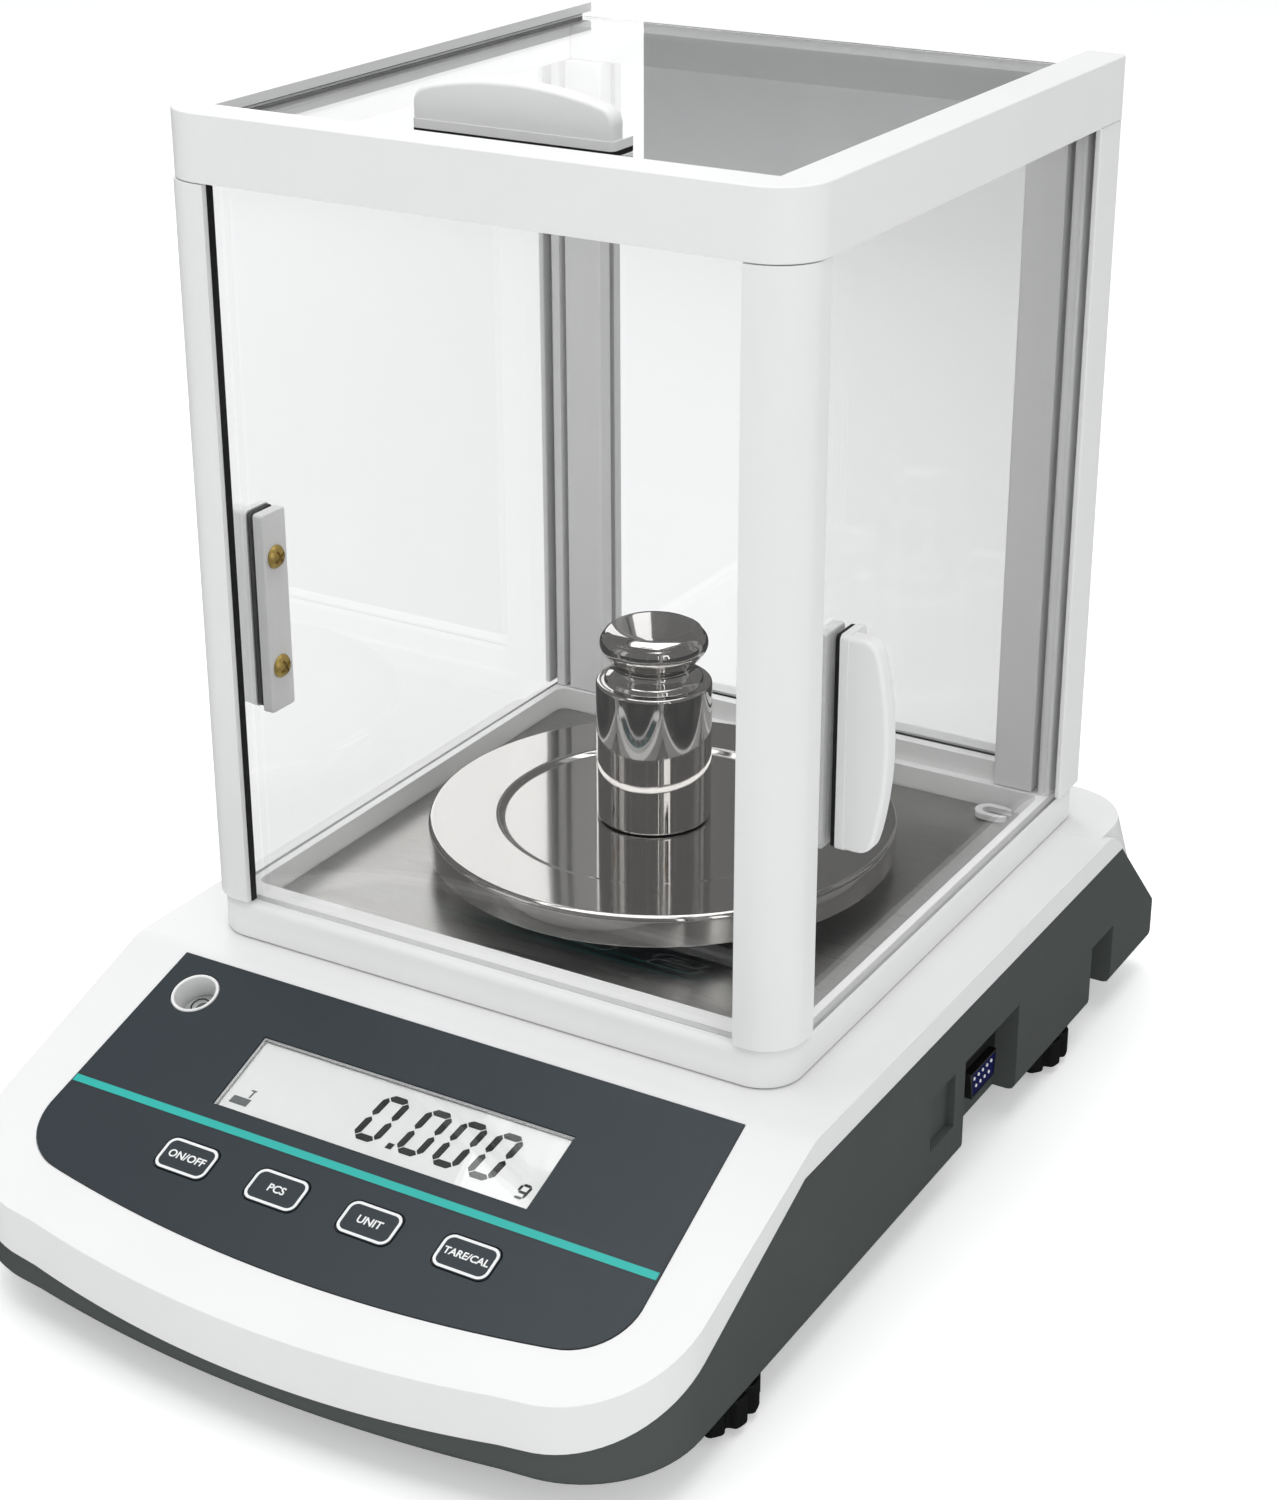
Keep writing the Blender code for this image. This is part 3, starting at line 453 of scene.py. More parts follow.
def side_outline(drop, sum_yz=None, radius=18.0):
    """Side outline of the form, from under the nose, over the crest, to the tail."""
    ease = 16.0
    reach = ease * math.tan(SLOPE / 2)
    top = DECK - drop
    nose_z = top - (CREST - NOSE + 2) * math.tan(SLOPE)
    return ([(NOSE - 2, BELLY), (TAIL + 2, BELLY)]
            + tail_curve(drop, sum_yz or TAIL_TOP + DECK - 7.5, radius)
            + arc(CREST + reach, top - ease, ease, 90, 90 + math.degrees(SLOPE))
            + [(NOSE - 2, nose_z)])


def housing(inset, top_round, low_round):
    """The whole form, drawn in by an inset, with its top and bottom edges rounded."""
    form = common(push(footprint(inset), BELLY, DECK),
                  push(side_outline(0.0), -HALF - 5, HALF + 5, ACROSS))
    form = soften(form, top_round, 8, lambda m: m.z > BELLY + 12, 30.0)
    return soften(form, low_round, 4, lambda m: m.z < BELLY + 1, 30.0)


def hollow():
    """The space inside the form, one skin away from its faces."""
    low = BELLY + SKIN
    inner = push(footprint(SKIN + 1.0), low, DECK - SKIN)
    return common(inner, block(-HALF, HALF, NOSE, TAIL_TOP - 8, low, DECK - SKIN),
                  push(side_outline(SKIN + 0.5), -HALF - 5, HALF + 5, ACROSS))


def over_parting(lift):
    """Everything above the parting line, swept from side to side."""
    fall = (PART_SIDE - PART_NOSE) / (KNEE - NOSE)
    return push([(NOSE - 5, PART_NOSE - 5 * fall + lift), (KNEE, PART_SIDE + lift),
                 (TAIL + 20, PART_SIDE + lift), (TAIL + 20, DECK + 20), (NOSE - 5, DECK + 20)],
                -HALF - 20, HALF + 20, ACROSS)


def apron(grow):
    """The white tongue that hangs down the tail between the tray's side walls."""
    half = HALF - APRON_IN + grow
    return block(-half, half, TAIL_TOP - 6, TAIL + 5, APRON_LOW - grow, PART_SIDE + 5)


PANEL = (Matrix.Translation(Vector((0, CREST, DECK)) * MM)
         @ Matrix.Rotation(SLOPE, 4, "X"))
print("panel slopes %.1f degrees" % math.degrees(SLOPE))

# %% [markdown]
# The white shell ends in a rounded tongue over the tail. It carries the openings of the
# panel: the screen window, four key holes, the hole for the spirit level and a shallow bed
# for the film. They are cut square to the slope.

# %% White shell
FILM_TOP = 2.0
KEY_STEP = 27.9
KEY_W, KEY_H = 16.2, 10.2
KEY_S = FILM_TOP + 59.3
KEY_X = [(i - 1.5) * KEY_STEP for i in range(4)]
SCREEN_X = (-46.4, 48.0)
SCREEN_S = (FILM_TOP + 18.2, FILM_TOP + 41.6)
LEVEL_X, LEVEL_S, LEVEL_R = -74.3, FILM_TOP + 11.7, 6.6


def film_outline(grow=0.0):
    """The film's outline on the panel: straight top, flared sides, bowed lower edge."""
    low = FILM_TOP + 80.3 + grow
    radius = 17.0 + grow
    bow = [(x, -(low - 0.0012 * x * x)) for x in range(-72, 73, 6)]
    y = -(FILM_TOP + 56.9)
    right = arc(71.3, y, radius, -80, 0, 12)
    left = arc(-71.3, y, radius, 180, 260, 12)
    return ([(-85.6 - grow, -FILM_TOP + grow)] + left + bow + right
            + [(85.6 + grow, -FILM_TOP + grow)])


def key_hole(x, grow):
    """The opening of the key at x, grown all round."""
    return rounded(x - KEY_W / 2 - grow, x + KEY_W / 2 + grow, -KEY_S - KEY_H / 2 - grow,
                   -KEY_S + KEY_H / 2 + grow, 2.8, steps=6)


shell = common(cut(housing(0.0, 7.0, 1.0), hollow()), over_parting(0.2))
low_half, high_half, tongue_y = HALF - APRON_IN, HALF - APRON_IN + 1.0, TAIL_TOP - 14
tongue = taper(rounded(-low_half, low_half, tongue_y, TAIL - 2, 1, 20, 14), APRON_LOW,
               rounded(-high_half, high_half, tongue_y, TAIL - 19, 1, 20, 14), DECK)
tongue = soften(tongue, 8.0, 6, lambda m: m.z > DECK - 1 and m.y > TAIL_TOP - 10, 30)
tongue = cut(tongue, block(-HALF + 10, HALF - 10, TAIL_TOP - 20, TAIL_TOP + 12, APRON_LOW - 5,
                           DECK - SKIN))
shell = join(shell, tongue)
shell = cut(shell, push(film_outline(0.25), -0.45, 6, PANEL))
shell = cut(shell, block(SCREEN_X[0], SCREEN_X[1], -SCREEN_S[1], -SCREEN_S[0], -15, 5, PANEL),
            disc(LEVEL_R + 0.25, LEVEL_X, -LEVEL_S, -15, 5, PANEL, 64),
            disc(14.0, 0, PAN_Y, DECK - 12, DECK + 4))
shell = cut(shell, *[push(key_hole(x, 0.25), -15, 5, PANEL) for x in KEY_X])
piece(shell, "white_shell", white_abs, "base", "upper_housing", slot="white_shell")
print("white shell faces:", len(shell.data.polygons))

# %% [markdown]
# The dark tray sits half a millimetre inside the white shell, so the parting line shows as
# a fine shadow. Its right wall has the recess of the data socket, a notch for the power
# plug and a shallow recess beside them. Bosses carry the screw feet.

# %% Dark tray
tray = cut(housing(0.5, 3.0, 2.5), hollow())
tray = cut(tray, over_parting(-0.35), apron(0.35))
PORT_Y = SHIELD_Y + 87.5
recesses = ((SHIELD_Y + 77.6, SHIELD_Y + 113.6, DECK - 25.0),
            (SHIELD_Y + 168.2, SHIELD_Y + 185.0, DECK - 33.0))
for y0, y1, top in recesses:
    tray = join(tray, block(HALF - 11.0, HALF - 1.4, y0 - 2.2, y1 + 2.2, BELLY + 0.4, top + 2.2))
    tray = cut(tray, block(HALF - 7.4, HALF + 5, y0, y1, BELLY - 1, top))
y0, y1, z0, z1 = SHIELD_Y + 56.2, SHIELD_Y + 71.2, DECK - 41.6, DECK - 25.2
tray = join(tray, block(HALF - 5, HALF - 1.4, y0 - 2, y1 + 2, z0 - 2, z1 + 2))
tray = cut(tray,
           block(HALF - 15, HALF - 5, PORT_Y - 10, PORT_Y + 10, DECK - 40, DECK - 27),
           push(arc(SHIELD_Y + 172.5, DECK - 38, 4.2, 0, 352, 30), HALF - 15, HALF - 5, ACROSS),
           block(HALF - 2.8, HALF + 5, y0, y1, z0, z1))
FEET = ("front_left", "front_right", "rear_left", "rear_right")
for foot in FEET:
    x, y, _ = middle("foot_%s_pad" % foot)
    tray = join(tray, disc(7.5, x, y, BELLY + 0.5, BELLY + 14))
    tray = cut(tray, disc(4.4, x, y, BELLY - 1, BELLY + 12))
piece(tray, "dark_tray", tray_abs, "base", "lower_housing", slot="dark_shell")
print("dark tray faces:", len(tray.data.polygons))

# %% [markdown]
# ## The panel
# The film is a thin sheet with its colour printed behind it. The teal stripe and the white
# rings and words of the keys are ink, so each is a very thin solid lying just on the film.
# The keys are domes under the film that click by half a millimetre, so ring and word ride
# with their key.

# %% Film and stripe
overlay = push(film_outline(), -0.4, 0.3, PANEL)
overlay = cut(overlay,
              block(SCREEN_X[0] - 0.2, SCREEN_X[1] + 0.2, -SCREEN_S[1] - 0.2,
                    -SCREEN_S[0] + 0.2, -5, 5, PANEL),
              disc(LEVEL_R + 0.25, LEVEL_X, -LEVEL_S, -5, 5, PANEL, 64),
              *[push(key_hole(x, 0.2), -5, 5, PANEL) for x in KEY_X])
overlay = soften(overlay, 0.12, 2)
piece(overlay, "panel_film", film, "base", "control_overlay", slot="overlay_film")
STRIPE_S, STRIPE_HALF = FILM_TOP + 47.5, 1.1
stripe = common(block(-90, 90, -STRIPE_S - STRIPE_HALF, -STRIPE_S + STRIPE_HALF, 0.31, 0.36,
                      PANEL),
                push(film_outline(-0.4), 0.2, 0.5, PANEL))
piece(stripe, "teal_stripe", teal_ink, "base", slot="overlay_film")
print("film laid")

# %% Words as thin ink


def word(text, size, x, s, height, shear=0.0, weight=0.07):
    """A word as a thin solid on the panel, centred at (x, s); weight thickens its strokes."""
    curve = bpy.data.curves.new(text, "FONT")
    curve.body = text
    curve.size = size * MM
    curve.align_x = "CENTER"
    curve.align_y = "CENTER"
    curve.extrude = 0.02 * MM
    curve.resolution_u = 3
    curve.shear = shear
    curve.offset = weight * MM
    holder = bpy.data.objects.new(text, curve)
    bpy.context.scene.collection.objects.link(holder)
    bpy.context.view_layer.update()
    graph = bpy.context.evaluated_depsgraph_get()
    mesh = bpy.data.meshes.new_from_object(holder.evaluated_get(graph))
    bpy.data.objects.remove(holder, do_unlink=True)
    mesh.transform(PANEL @ Matrix.Translation(Vector((x, -s, height)) * MM))
    made = bpy.data.objects.new(text, mesh)
    bpy.context.scene.collection.objects.link(made)
    return made


KEY_TOP = 0.5
keys = (("key_on", "ON/OFF", 3.1), ("key_pcs", "PCS", 3.1), ("key_unit", "UNIT", 3.1),
        ("key_tare", "TARE/CAL", 2.8))
for x, (node, text, size) in zip(KEY_X, keys):
    body = node + "_cap"
    cap = soften(push(key_hole(x, -0.1), -2.2, KEY_TOP, PANEL), 0.25, 3)
    piece(cap, node + "_dome", key_film, body, node, slot="key_film")
    outer = rounded(x - 7.75, x + 7.75, -KEY_S - 4.75, -KEY_S + 4.75, 2.6, steps=8)
    inner = rounded(x - 7.0, x + 7.0, -KEY_S - 4.0, -KEY_S + 4.0, 1.9, steps=8)
    ring = cut(push(outer, KEY_TOP + 0.01, KEY_TOP + 0.06, PANEL),
               push(inner, KEY_TOP - 1, KEY_TOP + 1, PANEL))
    piece(ring, node + "_ring", white_ink, body, slot="key_film")
    label = word(text, size, x, KEY_S, KEY_TOP + 0.03)
    piece(label, node + "_word", white_ink, body, slot="key_film")
print("keys:", len(keys))

# %% [markdown]
# ## The screen
# A reflective liquid crystal screen is pale grey, and its seven-segment figures are dark and
# lean forward. Each segment is a bar with pointed ends. The module's face lies nearly two
# millimetres below the panel, so the window's edge throws a thin shadow on it.

# %% Screen, figures and marks
FACE = -1.9
INK_LOW, INK_HIGH = FACE + 0.02, FACE + 0.06


def bar(x0, s0, x1, s1, wide):
    """A segment between two points of the leaning figure, with pointed ends."""
    dx, dy = x1 - x0, s1 - s0
    length = math.hypot(dx, dy)
    ux, uy = dx / length, dy / length
    half = wide / 2
    nx, ny = -uy * half, ux * half
    return [(x0, s0), (x0 + ux * half + nx, s0 + uy * half + ny),
            (x1 - ux * half + nx, s1 - uy * half + ny), (x1, s1),
            (x1 - ux * half - nx, s1 - uy * half - ny),
            (x0 + ux * half - nx, s0 + uy * half - ny)]


FIG_W, FIG_H, FIG_LEAN, FIG_BAR = 5.9, 13.4, 0.15, 2.0
FIG_S = FILM_TOP + 36.2
FIG_X, FIG_GAP = (-6.4, 6.5, 17.0, 27.5), 0.22
POINT_X, UNIT_X, UNIT_DROP = -4.0, 42.4, 2.2


def lean(points, x):
    """Place figure points on the panel, leaning with height."""
    return [(x + a + b * FIG_LEAN, -(FIG_S - b)) for a, b in points]


ZERO = ((0, 1, 1, 1), (1, 1, 1, 0.5), (1, 0.5, 1, 0),
        (0, 0, 1, 0), (0, 0, 0, 0.5), (0, 0.5, 0, 1))
bars = []
for x in FIG_X:
    for a0, b0, a1, b1 in ZERO:
        x0, y0, x1, y1 = a0 * FIG_W, b0 * FIG_H, a1 * FIG_W, b1 * FIG_H
        length = math.hypot(x1 - x0, y1 - y0)
        ux, uy = (x1 - x0) / length * FIG_GAP, (y1 - y0) / length * FIG_GAP
        bars.append(lean(bar(x0 + ux, y0 + uy, x1 - ux, y1 - uy, FIG_BAR), x))
bars.append(lean([(7.4, -0.9), (9.2, -0.9), (9.2, 0.9), (7.4, 0.9)], POINT_X))
for i, outline in enumerate(bars):
    figure = push(outline, INK_LOW, INK_HIGH, PANEL)
    piece(figure, "figure_bar_%02d" % i, screen_ink, "base", slot="display")
strokes = ((0, 3.9, 2.3, 3.9), (2.4, 3.8, 2.4, 0.1), (2.3, 0, 0, 0), (0, 1.7, 2.3, 1.7),
           (-0.1, 3.8, -0.1, 1.8))
for i, (x0, y0, x1, y1) in enumerate(strokes):
    outline = lean(bar(x0, y0 - UNIT_DROP, x1, y1 - UNIT_DROP, 0.75), UNIT_X)
    stroke = push(outline, INK_LOW, INK_HIGH, PANEL)
    piece(stroke, "figure_unit_%d" % i, screen_ink, "base", slot="display")
marks = ((-41.4, 37.6, 5.4, 2.4), (-39.6, 33.6, 1.6, 0.5), (-39.5, 34.9, 0.5, 2.2))
for i, (x, s, w, h) in enumerate(marks):
    s += FILM_TOP
    mark = push([(x - w / 2, -s - h / 2), (x + w / 2, -s - h / 2), (x + w / 2 + 0.3, -s + h / 2),
                 (x - w / 2 + 0.3, -s + h / 2)], INK_LOW, INK_HIGH, PANEL)
    piece(mark, "screen_mark_%d" % i, mark_ink, "base", slot="display")
inside = (SCREEN_X[0] + 0.25, SCREEN_X[1] - 0.25, -SCREEN_S[1] + 0.25, -SCREEN_S[0] - 0.25)
module = block(*inside, -4.6, FACE, PANEL)
piece(soften(module, 0.2, 2), "screen_module", screen_face, "base", "lcd_module",
      slot="display")
window = block(*inside, -1.4, -0.3, PANEL)
piece(soften(window, 0.15, 2), "screen_window", acrylic, "base", "lcd_window",
      slot="clear_plastic")
print("figure bars:", len(bars))

# %% [markdown]
# ## The spirit level
# A bull's-eye level is a small white cup with a domed vial in the bottom of it. A black
# ring is printed on the vial, and the bubble floats inside it when the balance is true.

# %% Spirit level


def on_panel(made, x, s, height=0.0):
    """Stand a piece made round the origin on the panel."""
    made.data.transform(PANEL @ Matrix.Translation(Vector((x, -s, height)) * MM))
    return made


r = LEVEL_R
cup = spin([(0, -9.8), (r - 1.0, -9.8), (r - 0.9, 0.2), (r - 0.6, 0.4), (r - 0.2, 0.4),
            (r, 0.1), (r, -11.0), (0, -11.0)], 0, 0, 96)
piece(on_panel(cup, LEVEL_X, LEVEL_S), "level_cup_ring", white_abs, "base", "level_cup",
      slot="white_shell")
v = r - 1.3
vial = spin([(0, -5.0), (v * 0.4, -5.1), (v * 0.75, -5.5), (v - 0.2, -6.1), (v, -6.6),
             (v, -9.4), (0, -9.4)], 0, 0, 96)
piece(on_panel(vial, LEVEL_X, LEVEL_S), "level_dome", acrylic, "base", "level_vial",
      slot="clear_plastic")
target = spin([(2.3, -4.85), (2.75, -4.9), (2.75, -5.02), (2.3, -4.97), (2.3, -4.85)],
              0, 0, 64)
piece(on_panel(target, LEVEL_X, LEVEL_S), "level_target", screen_ink, "base",
      slot="clear_plastic")
bubble = spin([(0, -6.0), (1.1, -6.15), (1.9, -6.6), (2.0, -7.0), (1.6, -7.5), (0, -7.7)],
              0.3, 0.2, 48)
piece(on_panel(bubble, LEVEL_X, LEVEL_S), "level_bubble", mark_ink, "base",
      slot="clear_plastic")
print("level set")

# %% [markdown]
# ## The draft shield's frame
# The sill is a moulded ring with a groove for each door and a rebate for the front pane. Its
# front corners match the posts. The top frame is a U, open at the back so that the lid can
# slide out, with a full 5 mm round along its top edge.

# %% Sill
DOOR_X = middle("right_door_glass")[0]
GLASS = 3.0
TRACK = GLASS / 2 + 0.5
POST_IN, POST_OUT = 74.5, 89.0
PANE_FRONT, PANE_BACK = SHIELD_Y + 3.0, SHIELD_Y + 6.8
REAR_POST = SHIELD_REAR - 15.0
sill = push(rounded(-88, 88, SHIELD_Y, SHIELD_REAR + 2, 11, 7, 14), DECK + 0.3, SILL)
sill = soften(sill, 2.6, 5, lambda m: m.z > SILL - 1, 60)
sill = soften(sill, 0.5, 2, lambda m: m.z < DECK + 1, 60)
sill = cut(sill, push(rounded(-81, 81, SHIELD_Y + 13, REAR_POST - 1, 3), DECK + 2.5, SILL + 5))
sill = join(sill, block(-65.7, 65.7, REAR_POST + 2, SHIELD_REAR, SILL - 2, SILL + 6.5))
sill = join(sill, block(-80, 80, SHIELD_REAR - 12, SHIELD_REAR + 1.4, DECK - 6, DECK + 1.5))
sill = cut(sill, disc(14.0, 0, PAN_Y, DECK - 5, DECK + 8),
           block(-71, 71, SHIELD_REAR - 9, SHIELD_REAR - 5.4, SILL + 3, SILL + 9),
           block(-78, 78, PANE_FRONT, PANE_BACK, SILL - 1.6, SILL + 4),
           *[block(s * DOOR_X - TRACK, s * DOOR_X + TRACK, SHIELD_Y + 15.4, SHIELD_REAR + 9,
                   SILL - 4.5, SILL + 4) for s in (-1, 1)])
sill = soften(sill, 0.35, 2, lambda m: m.z > DECK + 5, 60)
piece(sill, "shield_sill", white_abs, "base", "shield_base", slot="white_shell")
print("sill faces:", len(sill.data.polygons))

# %% Top frame
rail_low, rail_high = span("top_frame")
FRAME_LOW, FRAME_HIGH = rail_low.z, rail_high.z
FRAME_HALF = rail_high.x
LID_LOW = span("lid_glass")[0].z
y0 = rail_low.y
rail = push(rounded(-FRAME_HALF, FRAME_HALF, y0, SHIELD_REAR, 13, 2, 18), FRAME_LOW, FRAME_HIGH)
rail = cut(rail, block(-FRAME_HALF + 11.5, FRAME_HALF - 11.5, y0 + 11, SHIELD_REAR + 5,
                       FRAME_LOW - 5, FRAME_HIGH + 5))
rail = soften(rail, 5.0, 8, lambda m: m.z > FRAME_HIGH - 1 and (
    m.y < y0 + 9 or abs(m.x) > FRAME_HALF - 5), 60)
rail = soften(rail, 0.8, 3, lambda m: m.z < FRAME_LOW + 1 or m.z > FRAME_HIGH - 1, 60)
rail = cut(rail, block(-81, 81, y0 + 9, SHIELD_REAR + 5, LID_LOW - 0.3, LID_LOW + GLASS + 0.3),
           block(-81, 81, y0 + 12, SHIELD_REAR + 5, LID_LOW, LID_LOW + GLASS + 1.4),
           block(-78, 78, PANE_FRONT, PANE_BACK, FRAME_LOW - 3, FRAME_LOW + 2.5),
           *[block(s * DOOR_X - TRACK, s * DOOR_X + TRACK, SHIELD_Y + 15.4, SHIELD_REAR + 5,
                   FRAME_LOW - 3, FRAME_LOW + 4) for s in (-1, 1)])
piece(rail, "top_rail", white_abs, "base", "top_frame", slot="white_shell")
# Thin black strips in the lid's channels, above the glass, are painted shade that darkens each
# groove.
for side, x in (("left", -80.95), ("right", 80.95)):
    channel_shade = block(x - 0.15, x + 0.15, y0 + 12, SHIELD_REAR - 0.5, LID_LOW + GLASS + 0.35,
                  LID_LOW + GLASS + 1.35)
    piece(channel_shade, "lid_channel_painted_shade_" + side, black_rubber_and_painted_shade, "base", slot="rubber")
print("top frame faces:", len(rail.data.polygons))

# %% [markdown]
# The front posts are L-shaped, with a quarter-round outer corner. The front pane rests
# against their backs, and a thin black strip on the front of their inner faces paints the
# shade there. The rear posts are grey extrusions with a groove for the rear pane, and a white
# strip outside each lets the door run between.

# %% Posts
LOW, HIGH = SILL + 0.3, FRAME_LOW - 0.3


def mirrored(outline, sign):
    """The outline as drawn for the right side, or flipped for the left."""
    return outline if sign > 0 else [(-a, b) for a, b in reversed(outline)]


rear_plan = [(66.0, REAR_POST + 0.5), (66.5, REAR_POST), (78.0, REAR_POST),
             (78.0, REAR_POST + 5.0), (80.2, REAR_POST + 5.0), (80.2, REAR_POST),
             (82.6, REAR_POST), (83.3, REAR_POST + 0.7), (83.3, SHIELD_REAR - 1.8),
             (82.2, SHIELD_REAR - 0.6), (67.2, SHIELD_REAR - 0.6), (66.0, SHIELD_REAR - 1.8),
             (66.0, SHIELD_REAR - 5.4), (69.2, SHIELD_REAR - 5.4), (69.2, SHIELD_REAR - 9.0),
             (66.0, SHIELD_REAR - 9.0)]
for side, sign in (("left", -1), ("right", 1)):
    plan = ([(POST_IN, SHIELD_Y - 0.7)] + arc(POST_OUT - 11, SHIELD_Y + 10.3, 11, -90, 0, 18)
            + [(POST_OUT, SHIELD_Y + 15), (83.6, SHIELD_Y + 15), (83.6, SHIELD_Y + 8.2),
               (POST_IN + 3.5, SHIELD_Y + 8.2), (POST_IN + 3.5, PANE_FRONT),
               (POST_IN, PANE_FRONT)])
    post = soften(push(mirrored(plan, sign), LOW, HIGH), 0.3, 2, None, 60)
    piece(post, "front_post_" + side, white_abs, "base", "post_front_" + side,
          slot="white_shell")
    # A thin black strip on the front of the post's inner face is painted shade.
    edge = push(mirrored([(POST_IN - 0.25, SHIELD_Y + 0.9), (POST_IN - 0.05, SHIELD_Y + 0.9),
                          (POST_IN - 0.05, PANE_FRONT), (POST_IN - 0.25, PANE_FRONT)],
                         sign), LOW, HIGH)
    piece(edge, "front_post_painted_shade_" + side, black_rubber_and_painted_shade, "base", slot="rubber")
    post = push(mirrored(rear_plan, sign), LOW, HIGH)
    piece(soften(post, 0.15, 2, None, 60), "rear_post_" + side, extrusion, "base",
          "post_rear_" + side, slot="grey_extrusion")
    strip = push(mirrored(rounded(87.5, 89.2, REAR_POST, SHIELD_REAR - 0.6, 0.5), sign),
                 LOW, HIGH)
    piece(strip, "rear_strip_" + side, white_abs, "base", "cover_rear_" + side,
          slot="white_shell")
print("posts stand %.0f mm" % (HIGH - LOW))

# %% [markdown]
# ## Panes
# A cut pane has its edges ground and polished to a small chamfer, which catches a line of
# light. Each pane is therefore a slab with a 0.4 mm bevel. The doors are drilled for the
# handle screws.

# %% Panes


def slab(node):
    """A chamfered pane of the same size as its CAD node."""
    low, high = span(node)
    return soften(block(low.x, high.x, low.y, high.y, low.z, high.z), 0.4, 1)


for node, name, glass, body in (("front_glass", "front_pane", pane_glass, "base"),
                                ("rear_glass", "rear_pane", pane_glass, "base"),
                                ("lid_glass", "lid_pane", lid_glass, "lid")):
    piece(slab(node), name, glass, body, node, slot="pane")
seal = block(-69, 69, SHIELD_REAR - 9.5, SHIELD_REAR - 9.1, SILL + 5.4, SILL + 7.0)
piece(seal, "rear_pane_seal", black_rubber_and_painted_shade, "base", slot="rubber")

# %% [markdown]
# ## Handles
# One handle serves three places. Outside the pane is a white foot with an arched fin, and
# under it a black pad that seals the glass. On the doors a grey plate inside takes two
# brass screws.

# %% Doors and handles


def fin_outline():
    """The fin seen from the side, as (along, out)."""
    crown = [(u, 13.2 - u * u / 198.6) for u in range(22, -23, -4)]
    return ([(-27.9, 0.6), (27.9, 0.6)] + arc(23.4, 5.7, 4.5, 0, 76, 8) + crown
            + arc(-23.4, 5.7, 4.5, 104, 180, 8))


for side, sign in (("left", -1), ("right", 1)):
    body = side + "_door"
    holes = [middle(side + "_screw_" + end)[1:] for end in ("lower", "upper")]
    grip, mid = span(side + "_handle_outer")[0].y, middle(side + "_handle_outer")[2]
    outside = DOOR_X + GLASS / 2
    seat = outside + 1.5

    def across(outline, inner, outer):
        """Push a (y, z) outline between two distances from the middle, on this side."""
        return push(outline, *sorted((sign * inner, sign * outer)), ACROSS)

    pane = cut(slab(side + "_door_glass"),
               *[across(arc(y, z, 2.6, 0, 345, 23), 80, 90) for y, z in holes])
    piece(pane, side + "_pane", pane_glass, body, side + "_door_glass", slot="pane")
    fin = push([(sign * (seat + out), mid + along) for along, out in fin_outline()],
               grip + 0.2, grip + 5.5, BACK)
    fin = soften(fin, 1.1, 4, None, 50)
    foot = across(rounded(grip, grip + 10, mid - 28.2, mid + 28.2, 1.5), seat, seat + 2.2)
    piece(join(foot, fin), side + "_fin", white_abs, body, side + "_handle_outer",
          slot="white_shell")
    pad = across(rounded(grip + 0.3, grip + 9.7, mid - 27.9, mid + 27.9, 1.2), outside + 0.25,
                 outside + 1.25)
    piece(pad, side + "_seal", black_rubber_and_painted_shade, body, side + "_handle_gasket", slot="rubber")
    low, high = span(side + "_handle_inner")
    plate = across(rounded(low.y, high.y, low.z, high.z, 1.0), DOOR_X - GLASS / 2 - 3.6,
                   DOOR_X - GLASS / 2 - 0.3)
    plate = soften(plate, 0.5, 3, None, 60)
    piece(plate, side + "_plate", extrusion, body, side + "_handle_inner",
          slot="grey_extrusion")
    face = DOOR_X - GLASS / 2 - 3.75
    for (y, z), end in zip(holes, ("lower", "upper")):
        head = spin([(0, 1.8), (1.4, 1.7), (2.5, 1.25), (3.2, 0.4), (3.3, 0.0), (0, 0.0)],
                    0, 0, 40)
        slots = [block(-a, a, -b, b, 0.8, 3) for a, b in ((2.1, 0.42), (0.42, 2.1))]
        head = cut(head, *slots)
        turn = Matrix.Rotation(math.radians(-90 * sign), 4, "Y") @ Matrix.Rotation(0.5, 4, "Z")
        head.data.transform(Matrix.Translation(Vector((sign * face, y, z)) * MM) @ turn)
        piece(head, "%s_%s_screw" % (side, end), brass, body, "%s_screw_%s" % (side, end),
              slot="brass")
print("doors hung")

# %% Lid handle
low, high = span("lid_handle")
grip, top = low.y, LID_LOW + GLASS
fin = push([(along, top + 1.5 + out) for along, out in fin_outline()], grip + 0.2, grip + 5.5,
           BACK)
foot = push(rounded(-28.2, 28.2, grip, grip + 10, 1.5), top + 1.5, top + 3.7)
piece(join(foot, soften(fin, 1.1, 4, None, 50)), "lid_fin", white_abs, "lid", "lid_handle",
      slot="white_shell")
pad = push(rounded(-28.2, 28.2, grip, grip + 10, 1.5), top + 0.2, top + 1.4)
piece(pad, "lid_seal", black_rubber_and_painted_shade, "lid", "lid_handle_gasket", slot="rubber")
print("lid handle height %.1f mm" % (high.z - low.z))

# %% [markdown]
# ## The pan and the weight
# The pan is a pressed disc with a turned-down rim and a shallow middle. The weight has the
# classic form for its kind: a flattened knob to grip with tweezers or fingers, a concave
# neck, a collar and a straight body. Both are spun from one profile, which is how a lathe
# makes them.

